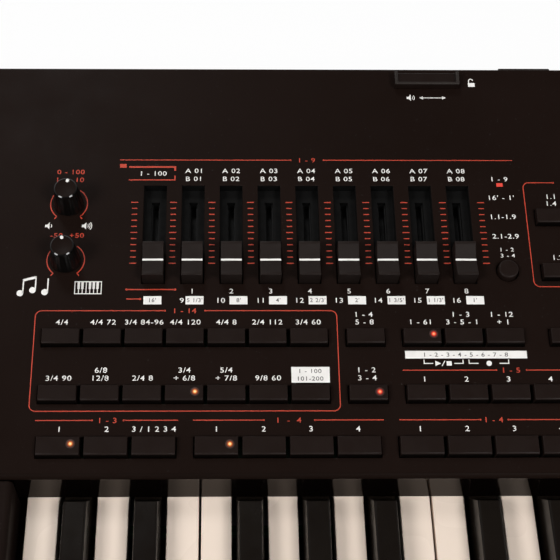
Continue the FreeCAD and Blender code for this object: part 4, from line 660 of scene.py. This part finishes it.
def joystick():
    """The joystick's two pieces, and the collar that leans with the stick."""
    for node, edge in JOYSTICK_EDGES.items():
        softened(node, *edge)
    pivot = Vector(next(joint for joint in record["behaviour"]["joints"]
                        if joint["name"] == "joystick_forward")["pos_m"])
    rows = list(COLLAR_FOOT)
    for i in range(RIB_COUNT):
        rows += [(radius - RIB_IN * i, height + RIB_UP * i) for radius, height in COLLAR_RIB]
    rows += COLLAR_TOP
    collar = bmesh.new()
    turned(collar, rows, Matrix.Translation(pivot), COLLAR_STEPS)
    piece("joystick_collar", collar, ("rubber",), "joystick_stick")


joystick()


# Sliding lock: a dark tray whose rim is painted paler on its upper face, a painted highlight
LOCK_RIM_DEPTH = 0.3


def speaker_lock():
    """The lock, with the upper face of its rim in a paler finish of its own, a painted highlight."""
    form = solid_of("speaker_lock")
    soften(form, *LOCK_EDGE)
    # Faces above the rim's level get the paler finish: a painted highlight.
    rim = max(panel_place(corner.co).z for corner in form.verts) - LOCK_RIM_DEPTH
    for face in form.faces:
        face.material_index = int(panel_place(face.calc_center_median()).z > rim)
    stand_in("speaker_lock", form, ("button", "lock_rim"))


speaker_lock()


# Lamps in the caps
LAMP_RADIUS = 1.9
LAMP_PROFILE = ((0.0, -0.2), (1.0, -0.2), (1.0, 0.01), (0.7, 0.05), (0.3, 0.07), (0.0, 0.075))
LAMP_STEPS = 40
LAMPS = (("lamp_intro", -366.1, 13.4, "lamp_orange", "intro_buttons"),
         ("lamp_variation", -302.5, 13.2, "lamp_orange", "variation_buttons"),
         ("lamp_style", -316.7, 35.4, "lamp_orange", "style_buttons"),
         ("lamp_memory", -217.5, 60.7, "lamp_red", "option_buttons"),
         ("lamp_fill_in", -241.3, 35.2, "lamp_red", "option_buttons"))


def lamp(name, u, v, look, body):
    """A lit lamp, level with the top of a cap."""
    form = bmesh.new()
    turned(form, [(LAMP_RADIUS * share, height) for share, height in LAMP_PROFILE],
           PANEL @ Matrix.Translation((u * MM, v * MM, CAP_RISE * MM)), LAMP_STEPS)
    piece(name, form, (look,), body)


for row in LAMPS:
    lamp(*row)


# Print: three inks, each one piece. Widths and places are in millimetres on the panel.
white = bmesh.new()
red = bmesh.new()
dark = bmesh.new()
LINE = 0.39
FRAME_CORNER = 2.6
FRAME_STEPS = 6
LABEL_RISE = 7.3
SECOND_LINE = 3.5


def frame_line(left, right, low, high, gap):
    """A rounded red frame whose upper side is open between the two ends of gap, each end with a dot."""
    inner_left = left + FRAME_CORNER
    inner_right = right - FRAME_CORNER
    inner_low = low + FRAME_CORNER
    inner_high = high - FRAME_CORNER
    line = [(gap[1], high), *arc(inner_right, inner_high, FRAME_CORNER, 90, 0, FRAME_STEPS),
            *arc(inner_right, inner_low, FRAME_CORNER, 0, -90, FRAME_STEPS),
            *arc(inner_left, inner_low, FRAME_CORNER, 270, 180, FRAME_STEPS),
            *arc(inner_left, inner_high, FRAME_CORNER, 180, 90, FRAME_STEPS), (gap[0], high)]
    stroke(red, line, LINE)
    for x in gap:
        disc(red, x, high, LINE)


def titled_line(left, right, height, gap, title):
    """A red line with a dotted opening for a title."""
    stroke(red, [(left, height), (gap[0], height)], LINE)
    stroke(red, [(gap[1], height), (right, height)], LINE)
    for x in gap:
        disc(red, x, height, LINE)
    letters(red, title, (gap[0] + gap[1]) / 2, height)


def label(u, v, *lines):
    """White lines of figures behind a cap, the last one nearest to it."""
    for line, words in enumerate(lines[::-1]):
        letters(white, words, u, v + LABEL_RISE + SECOND_LINE * line)


def on_white(words, u, v, widen=WIDE):
    """Small dark figures on a white bar."""
    letters(dark, words, u, v, SMALL_FIGURE, top=OVERPRINT_HEIGHT, widen=widen)


HORN = ((-1.6, -0.6), (-0.7, -0.6), (0.3, -1.75), (0.3, 1.75), (-0.7, 0.6), (-1.6, 0.6))
WAVE_U = 0.1
WAVE_RADIUS = 1.1
WAVE_PITCH = 0.75
WAVE_HALF = 42
WAVE_STEPS = 6
WAVE_LINE = 0.32


def loudspeaker(u, v, waves):
    """A loudspeaker sign."""
    slab(white, [(u + x, v + y) for x, y in HORN])
    for i in range(waves):
        wave = arc(u + WAVE_U, v, WAVE_RADIUS + WAVE_PITCH * i, -WAVE_HALF, WAVE_HALF, WAVE_STEPS)
        stroke(white, wave, WAVE_LINE)


SCALE_RADIUS = 8.05
SCALE_ENDS = (34, 141)
SCALE_STEPS = 14
SCALE_LINE = 0.43
SCALE_HOOK = 1.19
KNOB_HEADINGS = (("0 - 100", 139.7), ("1  -  10", 135.7), ("-50  +50", 108.1))
VOLUME_SIGNS = ((-380.9, 1), (-365.0, 3))
VOLUME_SIGN_V = 112.7


def knob_print():
    """Scales with hooked feet, headings and signs round the two knobs."""
    first, last = SCALE_ENDS
    for v, _ in KNOB_TURNS.values():
        for side in (1, -1):
            line = arc(KNOB_U, v, SCALE_RADIUS, 90 - side * first, 90 - side * last, SCALE_STEPS)
            stroke(red, line, SCALE_LINE)
            x, y = line[-1]
            hook = (KNOB_U + (x - KNOB_U) * SCALE_HOOK, v + (y - v) * SCALE_HOOK)
            stroke(red, [(x, y), hook], SCALE_LINE)
    for words, v in KNOB_HEADINGS:
        letters(red, words, KNOB_U, v)
    for u, waves in VOLUME_SIGNS:
        loudspeaker(u, VOLUME_SIGN_V, waves)


PIANO = (-368.15, 80.35)
PIANO_KEY = 1.6
PIANO_COUNT = 7
PIANO_HIGH = 5.6
PIANO_FRAME = 0.2
PIANO_LINE = 0.17
PIANO_SHARP = 0.5
PIANO_SHARP_LOW = 2.2
PIANO_PLAIN = (0, 3, PIANO_COUNT)


def piano_sign():
    """Outlines of a row of piano keys, with the upper ones filled."""
    left, low = PIANO
    right = left + PIANO_KEY * PIANO_COUNT
    inner_high = low + PIANO_HIGH - PIANO_FRAME
    for edge in (low, low + PIANO_HIGH):
        bar(white, left - PIANO_FRAME, right + PIANO_FRAME, edge - PIANO_FRAME, edge + PIANO_FRAME)
    for i in range(PIANO_COUNT + 1):
        x = left + PIANO_KEY * i
        bar(white, x - PIANO_LINE, x + PIANO_LINE, low + PIANO_FRAME, inner_high)
        if i not in PIANO_PLAIN:
            bar(white, x - PIANO_SHARP, x + PIANO_SHARP, low + PIANO_SHARP_LOW, inner_high)


NOTES = (-391.2, 80.6)
NOTE_RISES = (0.0, 1.4, 0.5)
NOTE_PITCH = 5.2
NOTE_HEAD = 1.45
NOTE_SIDES = 12
STEM_LEFT = 0.9
STEM_HIGH = 6.4
BEAM = ((0.9, 6.0), (6.6, 7.5))
BEAM_LINE = 1.1


def note_signs():
    """Two joined notes and a single one."""
    left, low = NOTES
    for i, rise in enumerate(NOTE_RISES):
        x = left + NOTE_PITCH * i
        slab(white, arc(x, low + rise, NOTE_HEAD, 0, 360 - 360 / NOTE_SIDES, NOTE_SIDES - 1))
        bar(white, x + STEM_LEFT, x + NOTE_HEAD, low + rise, low + rise + STEM_HIGH)
    stroke(white, [(left + x, low + y) for x, y in BEAM], BEAM_LINE)


TICK_U = -344.0
TICK_PITCH = 16.9
TICK_COUNT = 11
TICK_RUN = (94.48, 94.92)
TICK_RISE = 2.97
TICK_REACH = (1.5, 1.2)
SLIDER_TITLE = (-351.2, -175.9, 145.9, (-275.2, -260.4), "1 - 9")
FIRST_BAR = (-351.1, -348.2, 141.9, 143.8)
FIRST_HEADING = ("1 - 100", -336.0, 139.0)
# Red lines round the first slider's headings, with their widths, and the dots at their ends
FIRST_LINES = ((((-347.0, 142.3), (-326.6, 142.3), (-326.6, 140.4)), 0.8),
               (((-347.0, 135.7), (-326.6, 135.7), (-326.6, 138.0)), 0.5))
LOWER_LINES = (((-346.2, 82.3), (-325.8, 82.3)), ((-346.2, 77.9), (-340.4, 77.9)))
LOWER_DOTS = ((-346.2, 82.3), (-325.6, 82.3), (-340.4, 77.9))
LOWER_LINE = 0.5
HEADING_A = 140.4
HEADING_B = 136.3
NUMBER_V = 81.6
TAG_NUMBER = (-4.3, 77.3)
# Drawbar lengths in feet, and the left ends of their tags
FEET = ("16'", "5 1/3'", "8'", "4'", "2 2/3'", "2'", "1 3/5'", "1 1/3'", "1'")
TAG_LEFTS = (-339.1, -321.3, *(-302.7 + 16.75 * i for i in range(SLIDER_COUNT - 2)))
TAG_RUN = (75.4, 79.2)
TAG_ENDS = (0.15, 7.75)
TAG_FIGURE = (4.0, 77.35)


def slider_print():
    """Scales beside the sliders, their headings and the numbered tags below."""
    low, high = TICK_RUN
    for column in range(SLIDER_COUNT + 1):
        u = TICK_U + TICK_PITCH * column
        for tick in range(TICK_COUNT):
            reach = TICK_REACH[0] if tick % 5 == 0 else TICK_REACH[1]
            bar(red, u - reach, u + reach, low + TICK_RISE * tick, high + TICK_RISE * tick)
    titled_line(*SLIDER_TITLE)
    bar(red, *FIRST_BAR)
    for line, width in FIRST_LINES:
        stroke(red, line, width)
    letters(white, *FIRST_HEADING)
    for line in LOWER_LINES:
        stroke(red, line, LOWER_LINE)
    for u, v in LOWER_DOTS:
        disc(red, u, v, LOWER_LINE)
    for i in range(1, SLIDER_COUNT):
        u = slider_middle(i + 1)
        letters(white, f"A {i:02d}", u, HEADING_A)
        letters(white, f"B {i:02d}", u, HEADING_B)
        letters(white, str(i), u, NUMBER_V)
        letters(white, str(i + SLIDER_COUNT - 1), u + TAG_NUMBER[0], TAG_NUMBER[1])
    for left, foot in zip(TAG_LEFTS, FEET):
        bar(white, left + TAG_ENDS[0], left + TAG_ENDS[1], *TAG_RUN)
        on_white(foot, left + TAG_FIGURE[0], TAG_FIGURE[1], LESS_WIDE)


STYLE_FRAME = (-384.0, -257.4, 28.0, 72.5, (-329.7, -312.8))
STYLE_TITLE = ("1 - 14", -321.2, 72.5)
STYLE_BACK = ("4/4", "4/4 72", "3/4 84-96", "4/4 120", "4/4 8", "2/4 112", "3/4 60")
STYLE_FRONT = (("3/4 90",), ("6/8", "12/8"), ("2/4 8",), ("3/4", "+ 6/8"), ("5/4", "+ 7/8"), ("9/8 60",))
STYLE_BAR = (-277.1, -261.3, 40.2, 47.1)
STYLE_BAR_LINES = (("1 - 100", -269.2, 45.3), ("101-200", -269.2, 42.0))


def style_print():
    """Frame and measures of the style block."""
    frame_line(*STYLE_FRAME)
    letters(red, *STYLE_TITLE)
    front, back = cap_rows("style_buttons")
    for spot, words in zip(back, STYLE_BACK):
        label(*spot, words)
    for spot, lines in zip(front, STYLE_FRONT):
        label(*spot, *lines)
    bar(white, *STYLE_BAR)
    for line in STYLE_BAR_LINES:
        on_white(*line)


OPTION_FRONT = ("1 - 2", "3 - 4")
OPTION_BACK = (("1 - 4", "5 - 8"), ("1 - 61",), ("1 - 3", "3 - 5 - 1"), ("1 - 12", "+ 1"))
STEP_BAR = (-229.6, -178.8, 50.8, 54.2)
STEP_FIGURES = ("1 - 2 - 3 - 4 - 5 - 6 - 7 - 8", -204.2, 52.5)
# Brackets under the step bar: ends of each, upper and lower height, half of the opening, and width
BRACKETS = ((-221.9, -205.7), (-203.2, -186.7))
BRACKET_HIGH = 50.3
BRACKET_LOW = 48.6
BRACKET_OPEN = 4.4
BRACKET_LINE = 0.4
PLAY_SIGN = ((-217.3, 47.4), (-214.9, 48.6), (-217.3, 49.8))
DIVIDER = ((-214.6, 47.4), (-213.2, 49.8))
DIVIDER_LINE = 0.35
STOP_SIGN = (-212.6, -210.5, 47.6, 49.6)
RECORD_SIGN = (-194.9, 48.6, 1.15)
PAD_TITLE = (-231.0, -145.0, 45.6, (-192.2, -179.6), "1 - 5")
PAD_RISE = 6.7


def option_print():
    """Ranges of the option buttons, the step bar with its play and record signs, and the pads."""
    front, back = cap_rows("option_buttons")
    label(*front[0], *OPTION_FRONT)
    for spot, lines in zip(back, OPTION_BACK):
        label(*spot, *lines)
    bar(white, *STEP_BAR)
    on_white(*STEP_FIGURES)
    for left, right in BRACKETS:
        middle = (left + right) / 2
        for side, x in ((1, left), (-1, right)):
            foot = (middle - side * BRACKET_OPEN, BRACKET_LOW)
            stroke(white, [(x, BRACKET_HIGH), (x, BRACKET_LOW), foot], BRACKET_LINE)
    slab(white, PLAY_SIGN)
    stroke(white, DIVIDER, DIVIDER_LINE)
    bar(white, *STOP_SIGN)
    disc(white, *RECORD_SIGN)
    titled_line(*PAD_TITLE)
    for i, (u, v) in enumerate(cap_rows("pad_buttons")[0]):
        letters(white, str(i + 1), u, v + PAD_RISE)


FRONT_TITLE_V = 24.1
FRONT_TITLES = ((-381.1, -323.5, (-358.2, -345.4), "1 - 3"), (-317.4, -240.0, (-288.7, -268.0), "1  -  4"),
                (-233.7, -158.0, (-200.7, -189.3), "1 - 4"), (230.0, 383.0, (300.0, 313.0), "1 - 8"))
FRONT_RISE = 7.8
FRONT_NODES = ("intro_buttons", "variation_buttons", "fill_buttons", "sound_buttons")
LAST_INTRO = "3 / 1 2 3 4"


def front_row_print():
    """Titles and numbers of the bars along the front of the panel."""
    for left, right, gap, title in FRONT_TITLES:
        titled_line(left, right, FRONT_TITLE_V, gap, title)
    for node in FRONT_NODES:
        for i, (u, v) in enumerate(cap_rows(node)[0]):
            last_intro = node == "intro_buttons" and i == 2
            letters(white, LAST_INTRO if last_intro else str(i + 1), u, v + FRONT_RISE)


MODE_U = -182.4
MODE_RANGES = (("1 - 9", 136.3), ("16' - 1'", 126.9), ("1.1-1.9", 117.4), ("2.1-2.9", 107.8))
MODE_BUTTON_U = -182.3
MODE_BUTTON_LINES = (("1 - 2", 101.3), ("3 - 4", 98.4))
MODE_FRAME = (-172.3, -128.5, 83.6, 134.5, (-158.6, -144.0))
MODE_TITLE = ("1 - 6", -151.3, 134.5)
MENU_FRAME = (135.5, 210.5, 83.6, 127.2, (166.0, 180.0))
MENU_TITLE = ("1 - 8", 173.0, 127.2)
MODE_COLUMNS = 2
MODE_ROWS = 3


def mode_print():
    """Ranges of the slider modes, and the frames of the mode and menu buttons."""
    for words, v in MODE_RANGES:
        letters(white, words, MODE_U, v)
    for words, v in MODE_BUTTON_LINES:
        letters(white, words, MODE_BUTTON_U, v, SMALL_FIGURE)
    frame_line(*MODE_FRAME)
    letters(red, *MODE_TITLE)
    frame_line(*MENU_FRAME)
    letters(red, *MENU_TITLE)
    for row, spots in enumerate(cap_rows("mode_buttons")):
        back_row = row == MODE_ROWS - 1
        for column, spot in enumerate(spots):
            if column >= MODE_COLUMNS:
                label(*spot, str(column - 1 if back_row else column + 3))
            elif back_row:
                label(*spot, f"{column + 1}.1", f"{column + 1}.4")
            else:
                label(*spot, f"{column + 1}.{MODE_ROWS - row}")


SOUND_FRAME = (258.5, 385.0, 28.0, 72.5, (313.5, 330.0))
SOUND_TITLE = ("1 - 14", 321.7, 72.5)
SOUND_BANK = 16
SOUND_FRONT_FIRST = 113
DIAL_SIGN_OUT = 27.0
# Standby sign over its button: height and radius of the ring, its ends, steps and width, then the bar
STANDBY_RISE = 10.6
STANDBY_RADIUS = 1.5
STANDBY_ENDS = (130, 410)
STANDBY_STEPS = 16
STANDBY_LINE = 0.35
STANDBY_BAR = (-0.18, 0.18, 10.8, 12.6)


def right_hand_print():
    """Ranges of the sound block, signs beside the dial and the standby button."""
    frame_line(*SOUND_FRAME)
    letters(red, *SOUND_TITLE)
    _, front, back = cap_rows("sound_buttons")
    for i in range(len(front)):
        for spot, first in ((back[i], SOUND_BANK * i + 1), (front[i], SOUND_BANK * i + SOUND_FRONT_FIRST)):
            label(*spot, f"{first}-{first + SOUND_BANK - 1}")
    letters(white, "-", DIAL[0] - DIAL_SIGN_OUT, DIAL[1], LARGE_FIGURE)
    letters(white, "+", DIAL[0] + DIAL_SIGN_OUT, DIAL[1], LARGE_FIGURE)
    u, v = cap_rows("power_button")[0][0]
    stroke(white, arc(u, v + STANDBY_RISE, STANDBY_RADIUS, *STANDBY_ENDS, STANDBY_STEPS), STANDBY_LINE)
    left, right, low, high = STANDBY_BAR
    bar(white, u + left, u + right, v + low, v + high)


LOCK_V = 179.1
LOCK_SPEAKER = (-219.5, 2)
LOCK_SHAFT = (-214.5, -204.0)
LOCK_SHAFT_LINE = 0.4
LOCK_TIPS = ((1, -215.4), (-1, -203.1))
LOCK_HEAD = (1.7, 0.9)
PADLOCK_BODY = (-192.3, -189.2, 185.2, 187.3)
PADLOCK_FOOT = (-191.9, 187.3)
PADLOCK_BOW = (-190.9, 188.4, 1.0, 180, 10, 8)
PADLOCK_LINE = 0.45


def lock_print():
    """Loudspeaker, arrows and padlock at the sliding lock."""
    loudspeaker(LOCK_SPEAKER[0], LOCK_V, LOCK_SPEAKER[1])
    stroke(white, [(x, LOCK_V) for x in LOCK_SHAFT], LOCK_SHAFT_LINE)
    long, half = LOCK_HEAD
    for side, x in LOCK_TIPS:
        head = ((x, LOCK_V), (x + side * long, LOCK_V - half), (x + side * long, LOCK_V + half))
        slab(white, head[::side])
    bar(white, *PADLOCK_BODY)
    stroke(white, [PADLOCK_FOOT, *arc(*PADLOCK_BOW)], PADLOCK_LINE)


BLOCK_TOP = 95.0
ARROWHEAD = ((-2.2, 39.0), (2.2, 39.0), (0.0, 42.4))


def joystick_print():
    """Four arrowheads round the joystick, on top of the end block."""
    low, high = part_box("joystick_stick")
    u, v = (low.x + high.x) / 2 / MM, (low.y + high.y) / 2 / MM
    for quarter in range(4):
        turn = Matrix.Rotation(quarter * math.pi / 2, 4, "Z")
        place = Matrix.Translation((u * MM, v * MM, BLOCK_TOP * MM)) @ turn
        slab(white, ARROWHEAD, place=place)


# Groups of sockets: distance of the first one along the rear wall, their spacing and number
SOCKET_GROUPS = ((-380.0, 30.0, 5), (40.0, 32.0, 2), (150.0, 32.0, 2))
SOCKET_MARGIN = 8.0
SOCKET_LINE = 0.4
SOCKET_LINE_HIGH = 82.6
SOCKET_NUMBER_HIGH = 78.6
# Wave sign at the mains inlet: middle, height, half of its length, points and width
WAVE_SIGN = (-420.0, 80.0)
WAVE_SIGN_HIGH = 1.1
WAVE_SIGN_HALF = 3.5
WAVE_SIGN_POINTS = 15
WAVE_SIGN_STEP = 0.5
WAVE_SIGN_LINE = 0.5


def rear_print():
    """Numbers over the sockets on the rear wall, and the wave sign at the inlet."""
    for first, pitch, count in SOCKET_GROUPS:
        near = -(first - SOCKET_MARGIN)
        far = -(first + pitch * (count - 1) + SOCKET_MARGIN)
        stroke(white, [(far, SOCKET_LINE_HIGH), (near, SOCKET_LINE_HIGH)], SOCKET_LINE, REAR)
        for i in range(count):
            letters(white, str(i + 1), -(first + pitch * i), SOCKET_NUMBER_HIGH, LARGE_FIGURE, REAR)
    wave = []
    for i in range(WAVE_SIGN_POINTS):
        x = -WAVE_SIGN_HALF + WAVE_SIGN_STEP * i
        rise = WAVE_SIGN_HIGH * math.sin(x * math.pi / WAVE_SIGN_HALF)
        wave.append((WAVE_SIGN[0] + x, WAVE_SIGN[1] + rise))
    stroke(white, wave, WAVE_SIGN_LINE, REAR)


knob_print()
piano_sign()
note_signs()
slider_print()
style_print()
option_print()
front_row_print()
mode_print()
right_hand_print()
lock_print()
joystick_print()
rear_print()
piece("print_white_marks", white, ("white_ink",), "case")
piece("print_red_marks", red, ("red_ink",), "case")
piece("print_dark_marks", dark, ("dark_ink",), "case")

# Lit bar at the first slider mode
MODE_LAMP = (-184.05, -181.3, 132.5, 134.2)
MODE_LAMP_SUNK = -0.2
MODE_LAMP_RISE = 0.12
sign = bmesh.new()
slab(sign, corners_of(*MODE_LAMP), MODE_LAMP_SUNK, MODE_LAMP_RISE)
piece("lamp_slider_mode", sign, ("lamp_bar",), "case")
bpy.data.objects.remove(lettering)


# Studio: pale floor, soft boxes at both sides of the camera and one behind
FLOOR_SHADE = 0.92
FLOOR_WHITE = 0.88
FLOOR_HALF = 6.0
OVERHEAD = (0.13, 0.125, 0.12)
OVERHEAD_RISE = (0.25, 0.75)
ROOM_LIGHT = 0.45
BACKDROP_MORE = 0.55
# Name, place and aim in metres, side in metres and power in watts
SOFT_BOXES = (("soft_box_left", (-1.4, -0.76, 1.55), (-0.25, 0.0, 0.08), 0.6, 22.5),
              ("soft_box_right", (0.6, -0.95, 1.75), (-0.15, 0.0, 0.08), 0.6, 25.5),
              ("soft_box_back", (-0.8, 1.35, 2.0), (-0.35, 0.05, 0.1), 0.5, 10.5))


def background_share(tree, most):
    """The given share for rays from the camera, mirrors and glass, and nothing for the rest."""
    path = tree.nodes.new("ShaderNodeLightPath")
    value = path.outputs["Is Camera Ray"]
    for name in ("Is Glossy Ray", "Is Transmission Ray"):
        both = tree.nodes.new("ShaderNodeMath")
        both.operation = "MAXIMUM"
        tree.links.new(value, both.inputs[0])
        tree.links.new(path.outputs[name], both.inputs[1])
        value = both.outputs["Value"]
    return spread(tree, value, 0.0, most, 0.0, 1.0)


def studio_floor():
    """A pale floor that looks nearly white to the camera and keeps the object's shadow."""
    material = bpy.data.materials.new("floor_pale")
    material.use_nodes = True
    tree = material.node_tree
    tree.nodes.clear()
    out = tree.nodes.new("ShaderNodeOutputMaterial")
    matt = tree.nodes.new("ShaderNodeBsdfDiffuse")
    matt.inputs["Color"].default_value = (FLOOR_SHADE, FLOOR_SHADE, FLOOR_SHADE, 1.0)
    glow = tree.nodes.new("ShaderNodeEmission")
    glow.inputs["Color"].default_value = (1.0, 1.0, 1.0, 1.0)
    blend = tree.nodes.new("ShaderNodeMixShader")
    tree.links.new(background_share(tree, FLOOR_WHITE), blend.inputs["Fac"])
    tree.links.new(matt.outputs["BSDF"], blend.inputs[1])
    tree.links.new(glow.outputs["Emission"], blend.inputs[2])
    tree.links.new(blend.outputs["Shader"], out.inputs["Surface"])
    form = bmesh.new()
    bmesh.ops.create_grid(form, x_segments=2, y_segments=2, size=FLOOR_HALF)
    mesh = bpy.data.meshes.new("floor")
    form.to_mesh(mesh)
    form.free()
    mesh.materials.append(material)
    floor = bpy.data.objects.new("floor", mesh)
    scene.collection.objects.link(floor)


def studio_world():
    """White near the horizon and dim overhead, as in a room with a pale sweep and a dark ceiling."""
    world = bpy.data.worlds.new("studio")
    scene.world = world
    world.use_nodes = True
    tree = world.node_tree
    back = tree.nodes["Background"]
    place = tree.nodes.new("ShaderNodeTexCoord")
    parts = tree.nodes.new("ShaderNodeSeparateXYZ")
    tree.links.new(place.outputs["Generated"], parts.inputs["Vector"])
    rise = spread(tree, parts.outputs["Z"], 0.0, 1.0, *OVERHEAD_RISE)
    tree.links.new(tint(tree, rise, (1.0, 1.0, 1.0), OVERHEAD), back.inputs["Color"])
    plus = tree.nodes.new("ShaderNodeMath")
    plus.operation = "ADD"
    plus.inputs[1].default_value = ROOM_LIGHT
    tree.links.new(background_share(tree, BACKDROP_MORE), plus.inputs[0])
    tree.links.new(plus.outputs["Value"], back.inputs["Strength"])


def soft_box(name, place, aim, size, power):
    """A square lamp that points at a spot."""
    lamp_data = bpy.data.lights.new(name, "AREA")
    lamp_data.shape = "SQUARE"
    lamp_data.size = size
    lamp_data.energy = power
    box = bpy.data.objects.new(name, lamp_data)
    box.location = place
    box.rotation_euler = (Vector(aim) - Vector(place)).to_track_quat("-Z", "Y").to_euler()
    scene.collection.objects.link(box)


studio_floor()
studio_world()
for row in SOFT_BOXES:
    soft_box(*row)

# Camera at the photo's place, turned a little to the right
CAMERA_PLACE = (-304.3 * MM, -212.3 * MM, 557.3 * MM)
PITCH = math.radians(31.526)
YAW = math.radians(-0.97)
FOCAL_LENGTH = 79.89
SENSOR_WIDTH = 36.0
SIDE_SHIFT = 0.06
NEAREST = 0.01
lens = bpy.data.cameras.new("photo_view")
lens.lens = FOCAL_LENGTH
lens.sensor_width = SENSOR_WIDTH
lens.shift_x = SIDE_SHIFT
lens.clip_start = NEAREST
camera = bpy.data.objects.new("photo_view", lens)
camera.location = CAMERA_PLACE
camera.rotation_euler = (Matrix.Rotation(PITCH, 3, "X") @ Matrix.Rotation(YAW, 3, "Y")).to_euler()
scene.collection.objects.link(camera)
scene.camera = camera
scene.view_settings.view_transform = "Standard"
